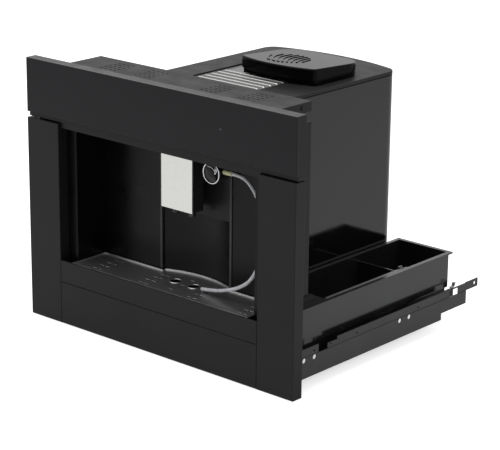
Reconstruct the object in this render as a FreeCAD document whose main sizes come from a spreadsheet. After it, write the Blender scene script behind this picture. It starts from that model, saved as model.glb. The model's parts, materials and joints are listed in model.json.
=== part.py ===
"""A built-in coffee machine on its pull-out rails, as an assembly of separate pieces.

The frame is +X to the right, +Y to the back and +Z up, in millimetres. The origin lies under the
middle of the whole machine, at the height of the lower edge of its front. Every place along Y is
written as a distance behind the front face, and moved to the origin by the helpers below.
"""
import FreeCAD, Part
import math
import os
import re
import Sketcher

Vector = FreeCAD.Vector

# Driving dimensions: name, value in millimetres, and what it measures.
SIZES = [
    ("front_width", 594, "width of the whole front"),
    ("front_height", 455, "height of the whole front"),
    ("front_depth", 22, "depth of the front panels"),
    ("over", 1, "how far a cutting tool reaches past the face that it cuts"),
    ("seam", 0.3, "gap at the side of a piece that slides or lifts"),
    ("sheet", 2, "thickness of folded steel sheet"),
    ("thin_sheet", 1.5, "thickness of the thinner steel sheet"),
    ("soft_edge", 1.2, "rounding of the panels' front edges"),

    ("panel_base", 362, "height of the control panel's lower edge"),
    ("glass", 4, "thickness of the control panel's glass"),
    ("housing_wall", 3, "wall of the housing behind the glass"),
    ("lens_radius", 1.3, "radius of the indicator lens"),
    ("lens_x", 143, "place of the indicator lens"),
    ("lens_drop", 46, "distance of the indicator lens below the front's top"),
    ("board_inset", 14, "margin of the display board inside its housing"),
    ("board_thickness", 1.6, "thickness of a circuit board"),

    ("column_width", 75, "width of each column beside the niche"),
    ("column_height", 352, "height of each column"),
    ("column_wall", 3, "wall of the folded column"),
    ("header_base", 345, "height of the header strip's lower edge"),
    ("header_set_back", 6, "header strip's distance behind the front face"),
    ("header_wall", 3, "thickness of the header strip"),
    ("header_gap", 2, "dark gap between the columns and the header strip"),

    ("frame_margin", 5, "front frame's margin inside the front's outline"),
    ("frame_foot", 12, "height of the front frame's bottom bar"),
    ("frame_top", 447.2, "height of the front frame's top edge"),
    ("post_depth", 18, "depth of the front frame's side post"),
    ("post_base", 165, "height of the side post's lower end"),
    ("post_top", 440, "height of the side post's upper end"),

    ("niche_half", 199, "half of the niche's inner width"),
    ("niche_lip_back", 20, "distance of the niche's front lip behind the front face"),
    ("niche_back", 86, "distance of the niche's back wall behind the front face"),
    ("niche_floor", 76.5, "height of the niche liner's floor"),
    ("niche_ceiling", 348, "height of the niche's ceiling"),

    ("channel_middle", 12.5, "place of the middle of the niche's hollow channel"),
    ("channel_width", 160, "width of the hollow channel"),
    ("channel_start", 89, "distance of the channel's edges behind the front face"),
    ("channel_hollow", 19, "depth of the channel's hollow"),
    ("channel_top", 424, "height of the channel's top"),
    ("guide_width", 4.5, "width of a carriage guide"),
    ("guide_front", 84.6, "distance of a guide's front behind the front face"),
    ("guide_bite", 2.5, "how far the carriage plate's edge enters a guide"),
    ("slide_play", 0.2, "play of the carriage plate in its guides"),

    ("spout_middle", 10, "place of the spout's middle"),
    ("spout_width", 69, "width of the spout's steel plate"),
    ("spout_base", 241.4, "height of the spout's lower edge"),
    ("spout_height", 104, "height of the spout's steel plate"),
    ("spout_front", 42, "distance of the spout's steel plate behind the front face"),
    ("spout_plate_depth", 4, "depth of the folded steel plate"),
    ("spout_body_depth", 28, "depth of the spout's housing"),
    ("spout_margin", 3, "housing's margin behind the steel plate"),
    ("spout_neck", 44, "width of the neck between housing and carriage"),
    ("carriage_base", 227.5, "height of the carriage plate's lower edge"),
    ("carriage_height", 188, "height of the carriage plate"),
    ("nozzle_radius", 6, "outer radius of a coffee nozzle"),
    ("nozzle_bore", 2.2, "radius of a coffee nozzle's bore"),
    ("nozzle_spread", 18, "distance of each nozzle from the spout's middle"),
    ("nozzle_drop", 10, "how far the nozzles stand below the spout"),
    ("nozzle_seat", 5, "how deep the nozzles sit in the spout"),

    ("knob_x", 86.5, "place of the frother's knob"),
    ("knob_height", 319, "height of the frother's knob"),
    ("knob_front", 40.5, "distance of the knob's rim behind the front face"),
    ("knob_depth", 5, "depth of the knob's chrome rim"),
    ("knob_radius", 18, "outer radius of the knob's chrome rim"),
    ("rim_width", 2, "width of the knob's chrome rim"),
    ("rim_soft", 0.9, "rounding of the knob's chrome rim"),
    ("dish_depth", 3, "depth of the dial inside the rim"),
    ("ridge_length", 30, "length of the ridge across the dial"),
    ("ridge_width", 9, "width of the ridge across the dial"),
    ("ridge_sunk", 0.8, "how far the ridge lies behind the rim's front"),
    ("diagonal", 0.70711, "sine and cosine of 45 degrees"),
    ("knob_stem", 4, "radius of the knob's stem"),
    ("frother_radius", 15.5, "radius of the frother's body"),
    ("frother_back", 79, "distance of the frother's back behind the front face"),
    ("frother_neck", 22, "width of the frother's neck under the ceiling"),
    ("spigot_radius", 3, "radius of the frother's spigot"),
    ("spigot_y", 50, "distance of the spigot behind the front face"),
    ("spigot_height", 323.3, "height of the spigot"),
    ("spigot_end", 114, "place of the spigot's free end"),
    ("sleeve_start", 106.6, "place of the sleeve's near end"),
    ("sleeve_end", 124, "place of the sleeve's far end"),
    ("sleeve_radius", 4, "outer radius of the sleeve"),
    ("hose_radius", 3, "outer radius of the milk hose"),
    ("hose_fit", 0.02, "radial gap between the hose and its sleeve"),
    ("hose_insert", 8, "how far the hose goes into its sleeve"),

    ("tray_base", 75.3, "height of the drip tray front's lower edge"),
    ("tray_top", 113.2, "height of the drip tray's upper rim"),
    ("bridge_half", 159.2, "half width of the basin's bridge to the tray's front"),
    ("tray_wall", 1.8, "wall of the drip tray's basin"),
    ("tray_front_wall", 4, "thickness of the drip tray's front"),
    ("tray_back", 84, "distance of the drip tray's straight back edge"),
    ("tray_margin", 1, "drip tray's margin inside the niche"),
    ("grid_sheet", 1.2, "thickness of the drip grid"),
    ("grid_rim", 1.6, "width of the drip grid's raised rim"),
    ("grid_rim_rise", 2.2, "height of the raised rim over the grid"),
    ("grid_skirt", 8, "depth of the drip grid's folded edge"),
    ("dish_radius", 9.5, "radius of the grid's dished drain"),
    ("drain_spread", 20.5, "distance of each dished drain from the middle"),
    ("drain_y", 59.5, "distance of the drains behind the front face"),
    ("dash_length", 9, "length of a drain slot"),
    ("dash_width", 3, "width of a drain slot"),
    ("dash_step", 12.5, "step between the two slots of a pair"),
    ("pair_near", 54, "distance of the inner pairs of slots from the channel's middle"),
    ("pair_far", 162.5, "distance of the outer pairs of slots from the channel's middle"),
    ("row_first", 16.5, "distance of the first row of slots behind the front face"),
    ("row_step", 17, "step between the rows of slots"),
    ("single_first", 24.5, "distance of the first single slot behind the front face"),
    ("single_step", 26.5, "step between the single slots"),

    ("drawer_top", 74.7, "height of the lower front's upper edge"),
    ("drawer_wall", 3, "wall of the lower front"),
    ("grounds_left", -115, "place of the grounds container's left side"),
    ("grounds_right", 135, "place of the grounds container's right side"),
    ("grounds_back", 230, "distance of the grounds container's back"),
    ("grounds_floor", 14, "height of the grounds container's floor"),
    ("grounds_top", 57, "height of the grounds container's rim"),
    ("grounds_wall", 2.2, "wall of the grounds container"),
    ("lip_width", 7, "width of the container's carrying lip"),
    ("lip_base", 50, "height of the container's carrying lip"),
    ("lip_height", 2, "thickness of the container's carrying lip"),

    ("hood_half", 232, "half width of the vent hood"),
    ("hood_top", 449, "height of the vent hood's top"),
    ("hood_back", 112, "distance of the vent hood's back edge"),
    ("hood_skirt", 16, "height of the vent hood's folded edge"),
    ("vent_length", 7, "length of one vent slot"),
    ("vent_width", 2.4, "width of one vent slot"),
    ("vent_step_x", 10, "step between vent slots along the front"),
    ("vent_step_y", 10.6, "step between rows of vent slots"),
    ("vent_near", 73, "place of the inner vent groups"),
    ("vent_far", 152, "place of the outer vent groups"),
    ("vent_y", 71.5, "distance of the vent groups behind the front face"),

    ("body_left", -133, "place of the body's left side"),
    ("body_right", 149, "place of the body's right side"),
    ("body_front", 112.3, "distance of the body's front edge"),
    ("body_corner_y", 437, "distance of the body's back corners"),
    ("body_bow", 25, "how far the back bulges past its corners"),
    ("body_corner", 25, "radius of the body's back corners"),
    ("body_base", 61.5, "height of the body's lower edge"),
    ("casing_mouth", 5, "depth of the casing's open front"),
    ("cover_base", 425.5, "height of the top cover's lower face"),
    ("cover_top", 431, "height of the top cover"),
    ("shadow_gap", 2, "dark gap under the top cover"),
    ("plug_depth", 4, "depth of the cover's rim inside the casing"),
    ("cover_edge", 1, "rounding of the top cover's edge"),

    ("cup_left", -74, "place of the cup tray's left edge"),
    ("cup_right", 74, "place of the cup tray's right edge"),
    ("cup_back", 296, "distance of the cup tray's back edge"),
    ("cup_depth", 3.6, "depth of the cup tray's recess"),
    ("cup_plate_sheet", 1, "thickness of the cup tray's plate"),
    ("cup_rail_left", -65, "place of the cup rails' left ends"),
    ("cup_rail_right", 66, "place of the cup rails' right ends"),
    ("cup_rail_first", 175, "distance of the first cup rail"),
    ("cup_rail_step", 16.4, "step between cup rails"),
    ("cup_rail_radius", 2.5, "radius of a cup rail"),

    ("lid_left", -33, "place of the hopper lid's left side"),
    ("lid_right", 128, "place of the hopper lid's right side"),
    ("lid_front", 246, "distance of the hopper lid's front"),
    ("lid_back", 380, "distance of the hopper lid's back"),
    ("lid_bow", 18, "how far the lid's front bulges before its corners"),
    ("lid_top", 461, "height of the hopper lid's front edge"),
    ("lid_drop", 9, "how much lower the lid is at its back"),
    ("lid_front_corner", 9, "radius of the lid's front corners"),
    ("lid_back_corner", 42, "radius of the lid's back corners"),
    ("lid_wall", 3, "wall of the hopper lid"),
    ("lid_edge", 2.5, "rounding of the lid's upper edge"),
    ("collar_height", 9, "height of the collar under the lid"),
    ("collar_wall", 4, "wall of the collar"),
    ("lid_gap", 0.6, "dark line between the collar and the lid"),
    ("grip_depth", 1.5, "depth of the finger grip under the lid's front"),
    ("grip_height", 6, "height of the finger grip under the lid's front"),
    ("seal_inset", 3, "lid seal's distance inside the lid's outline"),
    ("seal_width", 2.4, "width of the lid seal"),
    ("rib_rise", 1.2, "height of the ribs on the lid"),
    ("rib_width", 3, "width of the ribs on the lid"),
    ("rib_step", 10.5, "step between the ribs on the lid"),
    ("rib_bend", 72, "radius of the ribs' curve"),
    ("rib_reach", 38, "radius of the field of ribs"),
    ("rib_left", 13, "how far the field of ribs lies left of the lid's middle"),
    ("rib_set_back", 43, "distance of the field of ribs behind the lid's front corners"),
    ("rib_turn", 22, "distance of the ribs' turning line behind the middle of their field"),
    ("slope_block", 50, "height of the block that slopes the lid"),

    ("hopper_left", -8, "place of the bean hopper's left wall"),
    ("hopper_right", 104, "place of the bean hopper's right wall"),
    ("hopper_front", 299, "distance of the bean hopper's front wall"),
    ("hopper_back", 365, "distance of the bean hopper's back wall"),
    ("hopper_wall", 2, "wall of the bean hopper"),
    ("hopper_flange", 2.5, "width of the bean hopper's flange on the cover"),
    ("hopper_base", 368, "height where the bean hopper's funnel ends"),
    ("hopper_neck", 395, "height where the bean hopper's funnel starts"),

    ("burr_x", 52, "place of the grinder's axis"),
    ("burr_y", 332, "distance of the grinder's axis"),
    ("grinder_radius", 44, "outer radius of the grinder's housing"),
    ("grinder_wall", 4, "wall of the grinder's housing"),
    ("grinder_base", 322, "height of the grinder housing's floor"),
    ("burr_radius", 31, "radius of the burrs"),
    ("burr_bore", 9, "radius of the upper burr's mouth"),
    ("burr_height", 8, "height of each burr"),
    ("burr_gap", 0.4, "grinding gap between the burrs"),
    ("shaft_radius", 4, "radius of the grinder's shaft"),
    ("shaft_play", 0.05, "radial play of a shaft in its bore"),
    ("shaft_sink", 22, "how deep the grinder's shaft reaches into its motor"),
    ("outlet_half", 8, "half width of the grinder's outlet"),
    ("outlet_height", 14, "height of the grinder's outlet"),
    ("outlet_depth", 13.2, "depth of the grinder's outlet"),
    ("motor_radius", 32, "radius of the grinder's motor"),
    ("motor_height", 88, "height of the grinder's motor"),

    ("brew_x", 0, "place of the brew group's axis"),
    ("brew_y", 200, "distance of the brew group's axis"),
    ("brew_half", 41, "half width of the brew group's frame"),
    ("brew_base", 70, "height of the brew group's lower plate"),
    ("brew_top", 250, "height of the brew group's upper plate"),
    ("brew_plate", 8, "thickness of the brew group's plates"),
    ("brew_post", 6, "radius of the brew group's posts"),
    ("cylinder_radius", 30, "outer radius of the brew cylinder"),
    ("cylinder_bore", 23, "radius of the brew cylinder's bore"),
    ("cylinder_base", 120, "height of the brew cylinder's lower end"),
    ("piston_height", 26, "height of the brew piston's head"),
    ("piston_rod", 7, "radius of the brew piston's rod"),
    ("piston_travel", 34, "travel of the brew piston"),

    ("boiler_radius", 34, "radius of the boiler"),
    ("boiler_rim", 4, "how far the boiler's flange stands out"),
    ("boiler_height", 120, "height of the boiler"),
    ("boiler_x", 108, "place of the boiler"),
    ("boiler_y", 170, "distance of the boiler"),
    ("pump_length", 90, "length of the pump"),
    ("pump_width", 44, "width of the pump"),
    ("pump_x", 90, "place of the pump's left side"),
    ("pump_y", 300, "distance of the pump's front"),
    ("mainboard_x", -126, "place of the main circuit board"),
    ("mainboard_length", 190, "length of the main circuit board"),
    ("mainboard_height", 150, "height of the main circuit board"),
    ("mainboard_y", 160, "distance of the main circuit board's front edge"),
    ("mainboard_foot", 180, "height of the main circuit board's lower edge"),
    ("chip_height", 22, "height of the parts on the main circuit board"),
    ("inlet_x", -90, "place of the mains inlet"),
    ("stud_radius", 3, "radius of the studs that carry the main circuit board"),
    ("inlet_back", 451.5, "distance of the mains inlet's outer face"),
    ("inlet_foot", 90, "height of the mains inlet's lower edge"),
    ("inlet_width", 48, "width of the mains inlet's flange"),
    ("inlet_height", 28, "height of the mains inlet's flange"),
    ("inlet_depth", 26, "depth of the mains inlet's body"),
    ("inlet_flange", 10, "margin of the inlet's flange beyond its body"),
    ("blade_step", 7, "step between the inlet's blades"),
    ("blade_height", 4, "height of an inlet blade"),
    ("blade_width", 2, "thickness of an inlet blade"),

    ("pan_base", 60, "height of the base pan's lower face"),
    ("pan_front", 116, "distance of the base pan's front edge"),
    ("pan_back", 457, "distance of the base pan's back edge"),
    ("pan_skirt", 21, "how far the base pan's sides reach below its sheet"),
    ("chute_left", -45, "place of the pucks' opening, left"),
    ("chute_right", 45, "place of the pucks' opening, right"),
    ("chute_front", 128, "distance of the pucks' opening, front"),
    ("chute_back", 222, "distance of the pucks' opening, back"),
    ("bulkhead_set_back", 5.3, "distance of the bulkhead behind the casing's front"),
    ("arm_gap", 6, "distance of the pan's arms beside the niche's inner width"),
    ("carrier_front", 130, "distance of the front carrier's front edge"),
    ("carrier_rear", 375, "distance of the rear carrier's front edge"),
    ("carrier_length", 42, "length of each carrier"),

    ("tank_left", 151.5, "place of the water tank's left side"),
    ("tank_right", 268, "place of the water tank's rim, right"),
    ("tank_front", 40, "distance of the water tank's front"),
    ("tank_step_x", 226, "place where the tank's front arm starts"),
    ("tank_step_y", 118, "distance where the tank gets its full width"),
    ("tank_back", 457, "distance of the water tank's back"),
    ("tank_base", 64, "height of the water tank's bottom"),
    ("tank_rim", 128.5, "height of the water tank's rim"),
    ("tank_wall", 2.5, "wall of the water tank"),
    ("rim_lip", 5, "how far the tank's rim stands out"),
    ("rim_height", 3, "thickness of the tank's rim"),
    ("tank_round", 3, "rounding of the tank's lower edge"),
    ("deck_back", 130, "distance where the tank's front deck ends"),
    ("ledge_left", 238, "place of the inner edge of the handle's ledge"),
    ("ledge_base", 114, "height of the handle's ledge"),
    ("divider_y", 336, "distance of the tank's divider"),
    ("divider_top", 117, "height of the tank's divider"),
    ("handle_x", 247, "place of the tank handle's left side"),
    ("handle_width", 7, "width of the tank's handle"),
    ("handle_front", 136, "distance of the handle's free end"),
    ("handle_pivot_y", 338, "distance of the handle's pivot"),
    ("handle_pivot_height", 121.5, "height of the handle's pivot"),
    ("handle_thick", 5, "thickness of the tank's handle"),
    ("pivot_radius", 2.5, "radius of the handle's pivot pin"),
    ("clip_wall", 3, "wall of the handle's clip"),
    ("eye_radius", 4, "radius of the eye round the handle's pivot"),
    ("dock_left", 166.5, "place of the docks' left ends"),
    ("dock_right", 240, "place of the docks' right ends"),
    ("dock_first", 150, "distance of the first dock"),
    ("dock_second", 276, "distance of the second dock"),
    ("dock_third", 418, "distance of the third dock"),
    ("dock_width", 24, "width of each tank dock"),
    ("valve_x", 190.5, "place of the tank's valve"),
    ("valve_y", 430, "distance of the tank's valve"),
    ("valve_radius", 9, "radius of the valve's cap"),
    ("valve_neck", 5.4, "radius of the valve's neck"),
    ("valve_drop", 2, "how far the valve reaches below the tank"),

    ("rail_inset", 17, "distance of the rails' outer face inside the front's side"),
    ("rail_clearance", 28, "distance of the base pan's side inside the rails' outer face"),
    ("rail_start", 26, "distance of the rails' front end"),
    ("rail_end", 485, "distance of the rails' back end"),
    ("rail_base", 31, "height of the rail bracket's lower edge"),
    ("rail_bend", 54, "height of the bend in the rail bracket"),
    ("rail_top", 68, "height of the rail bracket's upper edge"),
    ("bend_step", 1, "how far the upper flange is set inwards"),
    ("flange_width", 18, "width of the bracket's lower flange"),
    ("notch_front", 84, "distance of the front notch"),
    ("notch_length", 23, "length of the front notch"),
    ("tab_back", 131, "distance where the second tab ends"),
    ("tab_drop", 5, "how much lower the second tab is"),
    ("window_front", 437, "distance of the rear window's front"),
    ("window_length", 25, "length of the rear window"),
    ("ear_end", 520, "distance of the rear ear's end, the whole machine's depth"),
    ("ear_height", 15, "height of the rear ear"),
    ("ear_hole_inset", 9, "distance of the ear's hole from the ear's end"),
    ("ear_hole", 3, "radius of the ear's hole"),
    ("fixing_height", 49.4, "height of the cabinet fixing holes"),
    ("fixing_radius", 4.2, "radius of the cabinet fixing holes"),
    ("fixing_first", 48, "distance of the first fixing hole"),
    ("fixing_step", 25.6, "step between the two fixing holes of a pair"),
    ("fixing_distance", 247.8, "step from the front pair to the rear pair"),
    ("pilot_height", 60, "height of the pilot holes"),
    ("pilot_first", 73.4, "distance of the first pilot hole"),
    ("pilot_second", 115, "distance of the second pilot hole"),
    ("pilot_third", 181.7, "distance of the third pilot hole"),
    ("pilot_fourth", 347, "distance of the fourth pilot hole"),
    ("pilot_radius", 1.8, "radius of the pilot holes"),
    ("channel_base", 19, "height of the outer slide channel's lower face"),
    ("channel_end", 413, "distance of the slides' back end"),
    ("slide_wall", 1.5, "wall of the slide channels"),
    ("slide_gap", 0.3, "running gap between the slide members"),

    ("screw_radius", 3.5, "radius of a cover screw's head"),
    ("screw_head", 1.6, "height of a cover screw's head"),
    ("screw_inset", 22, "distance of a cover screw from the hood's front and back edge"),
]

# The milk hose leaves its sleeve to the right, loops down behind the right column and lies down
# on the drip grid. The points are (x, distance behind the front face, height), chosen by hand.
HOSE_ROUTE = [
    (124.0, 50.0, 323.3),
    (143.5, 49.8, 323.8),
    (161.0, 49.2, 315.5),
    (175.5, 48.4, 300.5),
    (186.0, 47.6, 281.0),
    (191.5, 46.8, 259.0),
    (193.0, 46.2, 236.5),
    (191.8, 45.6, 214.0),
    (187.0, 45.2, 191.8),
    (178.5, 45.0, 171.0),
    (164.5, 45.2, 152.8),
    (145.0, 45.8, 139.6),
    (122.5, 46.8, 130.0),
    (100.0, 48.2, 123.0),
    (79.0, 49.4, 118.6),
    (60.0, 48.8, 116.6),
]

# Sizes that follow from others, as expressions in the words above.
DERIVED = {
    "rail_face": "(front_width / 2 - rail_inset)",
    "pan_half": "(front_width / 2 - rail_inset - rail_clearance)",
    "slide_inner_edge": "(front_width / 2 - rail_inset - rail_clearance + sheet)",
    "lid_nose": "(lid_front - lid_bow)",
    "lid_half": "((lid_right - lid_left) / 2)",
}

# How often things repeat.
VENT_COUNTS = (4, 5, 2)
CUP_RAIL_COUNT = 5
GRID_ROW_COUNT = 4
SINGLE_SLOT_COUNT = 3

# The parts on the main circuit board, as shares of its length and height: distance along it,
# height on it, length and height. The studs behind it have only a place.
BOARD_PARTS = ((0.06, 0.09, 0.21, 0.33), (0.37, 0.13, 0.14, 0.2), (0.37, 0.56, 0.32, 0.27),
               (0.68, 0.16, 0.16, 0.29))
BOARD_STUDS = ((0.03, 0.04), (0.03, 0.96), (0.97, 0.04), (0.97, 0.96))

doc = FreeCAD.newDocument("CoffeeMachine")
sheet = doc.addObject("Spreadsheet::Sheet", "Sizes")
for row, (alias, value, meaning) in enumerate(SIZES, start=1):
    sheet.set("A%d" % row, alias)
    sheet.set("B%d" % row, str(value))
    sheet.set("C%d" % row, meaning)
    sheet.setAlias("B%d" % row, alias)
doc.recompute()

nodes = {}


# ---------------------------------------------------------------- helpers

def spelled(text):
    """The same expression with each derived size written out."""
    return re.sub(r"[a-z][a-z_]*", lambda word: DERIVED.get(word.group(0), word.group(0)), str(text))


def tie(text):
    """Point every word of an expression at the cell of that name."""
    return re.sub(r"[a-z][a-z_]*", lambda word: "Sizes." + word.group(0), spelled(text))


def behind(text):
    """A distance behind the front face, counted from the origin instead."""
    return "(%s) - Sizes.ear_end / 2" % tie(text)


def of(text):
    """The number that an expression in the sheet's words gives now."""
    words = spelled(text)
    values = {alias: float(sheet.get(alias)) for alias in re.findall(r"[a-z][a-z_]*", words)}
    return float(FreeCAD.Units.Quantity(substituted(words, values)).Value)


def substituted(text, values):
    """The same expression with a number in place of each word."""
    return re.sub(r"[a-z][a-z_]*", lambda word: "(%r)" % values[word.group(0)], text)


def node(piece, label):
    """Give a finished sub-part its name."""
    piece.Label = label
    nodes[label] = piece
    return piece


def new(kind, name):
    return doc.addObject(kind, name)


def box(name, across, back, up):
    """A block between three pairs of planes, given in the sheet's words."""
    block = new("Part::Box", name)
    block.setExpression("Length", "(%s) - (%s)" % (tie(across[1]), tie(across[0])))
    block.setExpression("Width", "(%s) - (%s)" % (tie(back[1]), tie(back[0])))
    block.setExpression("Height", "(%s) - (%s)" % (tie(up[1]), tie(up[0])))
    block.setExpression("Placement.Base.x", tie(across[0]))
    block.setExpression("Placement.Base.y", behind(back[0]))
    block.setExpression("Placement.Base.z", tie(up[0]))
    return block


TURNS = {
    "x": FreeCAD.Rotation(Vector(0, 1, 0), 90),
    "y": FreeCAD.Rotation(Vector(1, 0, 0), -90),
    "z": FreeCAD.Rotation(),
}


def rod(name, axis, radius, start, length):
    """A round bar that starts at a point and runs along +X, +Y or +Z."""
    bar = new("Part::Cylinder", name)
    bar.Placement = FreeCAD.Placement(Vector(), TURNS[axis])
    bar.setExpression("Radius", tie(radius))
    bar.setExpression("Height", tie(length))
    bar.setExpression("Placement.Base.x", tie(start[0]))
    bar.setExpression("Placement.Base.y", behind(start[1]))
    bar.setExpression("Placement.Base.z", tie(start[2]))
    return bar


def joined(name, pieces):
    """One solid, or one group of solids, made of several."""
    whole = new("Part::MultiFuse", name)
    whole.Shapes = pieces
    return whole


def cut(name, base, tools):
    """A piece with one or more tools taken away from it."""
    cutter = tools[0] if len(tools) == 1 else joined(name + "_cutter", tools)
    rest = new("Part::Cut", name)
    rest.Base = base
    rest.Tool = cutter
    return rest


def shared(name, first, second):
    """What two shapes have in common."""
    common = new("Part::MultiCommon", name)
    common.Shapes = [first, second]
    return common


def runs_along(edge, axis):
    """Whether an edge is straight and lies along one axis."""
    if len(edge.Vertexes) != 2:
        return False
    span = edge.Vertexes[1].Point - edge.Vertexes[0].Point
    straight = abs(span.Length - edge.Length) < 1e-6
    return straight and abs(abs(span[axis]) - span.Length) < 1e-6


def rounded(name, base, rules):
    """Round each edge that passes a test, by the radius that goes with the test."""
    doc.recompute()
    picked = []
    for number, edge in enumerate(base.Shape.Edges, start=1):
        middle = edge.valueAt((edge.FirstParameter + edge.LastParameter) / 2)
        for test, radius in rules:
            if test(edge, middle):
                picked.append((number, of(radius), of(radius)))
                break
    soft = new("Part::Fillet", name)
    soft.Base = base
    soft.Edges = picked
    return soft


def near(value, text, reach=0.01):
    """Whether a coordinate lies at a place given in the sheet's words."""
    return abs(value - of(text)) < reach


def near_back(value, text, reach=0.01):
    """The same for a distance behind the front face."""
    return abs(value - of(text) + of("ear_end") / 2) < reach


def mirrored(name, source):
    """The same piece on the other side of the machine."""
    twin = new("Part::Mirroring", name)
    twin.Source = source
    twin.Normal = Vector(1, 0, 0)
    return twin


def body(name):
    """A body whose own frame starts at the front face."""
    solid = new("PartDesign::Body", name)
    solid.setExpression("Placement.Base.y", "-Sizes.ear_end / 2")
    return solid


def sketch(owner, name, role, offset=None):
    """A sketch on one of the body's own origin planes."""
    outline = owner.newObject("Sketcher::SketchObject", name)
    plane = [item for item in owner.Origin.OriginFeatures if item.Role == role][0]
    outline.AttachmentSupport = [(plane, "")]
    outline.MapMode = "FlatFace"
    if offset is not None:
        outline.setExpression("AttachmentOffset.Base.z", tie(offset))
    return outline


def rectangle(outline, across, up):
    """Four lines, with two opposite corners held by the sheet."""
    first = outline.GeometryCount
    corners = [(of(across[0]), of(up[0])), (of(across[1]), of(up[0])),
               (of(across[1]), of(up[1])), (of(across[0]), of(up[1]))]
    for here, there in zip(corners, corners[1:] + corners[:1]):
        outline.addGeometry(Part.LineSegment(Vector(*here, 0), Vector(*there, 0)), False)
    for side in range(4):
        outline.addConstraint(Sketcher.Constraint("Coincident", first + side, 2, first + (side + 1) % 4, 1))
    for side, rule in enumerate(("Horizontal", "Vertical", "Horizontal", "Vertical")):
        outline.addConstraint(Sketcher.Constraint(rule, first + side))
    held = (("DistanceX", first, across[0]), ("DistanceY", first, up[0]),
            ("DistanceX", first + 2, across[1]), ("DistanceY", first + 2, up[1]))
    for rule, line, text in held:
        number = outline.addConstraint(Sketcher.Constraint(rule, -1, 1, line, 1, of(text)))
        outline.setExpression("Constraints[%d]" % number, tie(text))


def pad(owner, name, outline, length, reverse=False):
    """Thicken a sketch."""
    solid = owner.newObject("PartDesign::Pad", name)
    solid.Profile = outline
    solid.setExpression("Length", tie(length))
    solid.Reversed = reverse
    return solid


def pocket(owner, name, outline, length, reverse=False):
    """Sink a sketch into the body."""
    hollow = owner.newObject("PartDesign::Pocket", name)
    hollow.Profile = outline
    hollow.setExpression("Length", tie(length))
    hollow.Reversed = reverse
    return hollow


# ---------------------------------------------------------------- front

def round_front_edges(edge, middle):
    """The edges round the front face of a panel."""
    return near_back(middle.y, "0")


def control_panel():
    """A dark glass plate over the whole width of the front, with one small lens."""
    plate = body("control_panel_plate")
    outline = sketch(plate, "control_panel_outline", "XZ_Plane")
    rectangle(outline, ("-front_width / 2", "front_width / 2"), ("panel_base", "front_height"))
    pad(plate, "control_panel_pad", outline, "glass", reverse=True)
    bore = rod("lens_bore", "y", "lens_radius", ("lens_x", "-over", "front_height - lens_drop"),
               "glass + over * 2")
    softened = rounded("control_panel_soft", plate, [(round_front_edges, "soft_edge")])
    node(cut("control_panel_piece", softened, [bore]), "control_panel")
    lens = rod("lens_piece", "y", "lens_radius", ("lens_x", "0", "front_height - lens_drop"), "glass")
    node(lens, "indicator_lens")


def panel_housing():
    """The box behind the glass, open to the back, and the display board inside it."""
    edge = "front_width / 2"
    outer = box("housing_outer", ("-" + edge, edge), ("glass", "front_depth"),
                ("panel_base", "front_height"))
    inner = box("housing_inner", ("housing_wall - " + edge, edge + " - housing_wall"),
                ("glass + housing_wall", "front_depth + over"),
                ("panel_base + housing_wall", "front_height - housing_wall"))
    window = box("housing_window", ("board_inset - " + edge, edge + " - board_inset"),
                 ("glass - over", "front_depth"),
                 ("panel_base + board_inset", "front_height - board_inset"))
    node(cut("housing_piece", outer, [inner, window]), "panel_housing")
    board = box("board_piece", ("housing_wall - " + edge, edge + " - housing_wall"),
                ("glass + housing_wall", "glass + housing_wall + board_thickness"),
                ("panel_base + housing_wall", "front_height - housing_wall"))
    node(board, "display_board")


def columns():
    """A folded panel on each side of the niche, open to the back."""
    edge = "front_width / 2"
    outer = box("column_outer", (edge + " - column_width", edge), ("0", "front_depth"),
                ("0", "column_height"))
    inner = box("column_inner", (edge + " - column_width + column_wall", edge + " - column_wall"),
                ("column_wall", "front_depth + over"), ("column_wall", "column_height - column_wall"))
    softened = rounded("column_soft", outer, [(round_front_edges, "soft_edge")])
    right = node(cut("column_right", softened, [inner]), "right_trim")
    node(mirrored("column_left", right), "left_trim")


def front_frame():
    """The steel frame that the front panels are fixed to, with a post on each side."""
    edge = "front_width / 2 - frame_margin"
    back = "front_depth + sheet"
    plate = box("frame_plate", ("-(%s)" % edge, edge), ("front_depth", back),
                ("frame_margin / 2", "frame_top"))
    opening = box("frame_opening", ("-niche_half - sheet - seam", "niche_half + sheet + seam"),
                  ("front_depth - over", back + " + over"), ("frame_foot", "niche_ceiling + sheet + seam"))
    posts = []
    for side, sign in (("right", 1), ("left", -1)):
        low, high = ("%s - frame_margin / 2 - sheet" % edge, "%s - frame_margin / 2" % edge)
        across = (low, high) if sign > 0 else ("-(%s)" % high, "-(%s)" % low)
        posts.append(box("post_" + side, across, (back, back + " + post_depth"), ("post_base", "post_top")))
    node(joined("frame_piece", [cut("frame_ring", plate, [opening])] + posts), "front_frame")


def header_strip():
    """The strip over the niche's mouth, set back from the front, and its folded band over the columns."""
    inner = "front_width / 2 - column_width - seam"
    edge = "front_width / 2"
    top = "panel_base - seam"
    strip = box("header_front", ("-(%s)" % inner, inner),
                ("header_set_back", "header_set_back + header_wall"), ("header_base", top))
    band = box("header_band", ("-" + edge, edge), ("header_set_back", "front_depth"),
               ("column_height + header_gap", top))
    hollow = box("header_hollow", ("header_wall - " + edge, edge + " - header_wall"),
                 ("header_set_back + header_wall", "front_depth + over"),
                 ("column_height + header_gap - over", top + " - header_wall"))
    node(joined("header_piece", [strip, cut("header_folded", band, [hollow])]), "header_strip")


# ---------------------------------------------------------------- niche

def channel_place():
    """Radius of the hollow channel and the distance of its axis behind the front face."""
    half = "channel_width / 2"
    radius = "((%s) * (%s) + channel_hollow * channel_hollow) / (2 * channel_hollow)" % (half, half)
    axis = "channel_start + channel_hollow - (%s)" % radius
    return radius, axis


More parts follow.
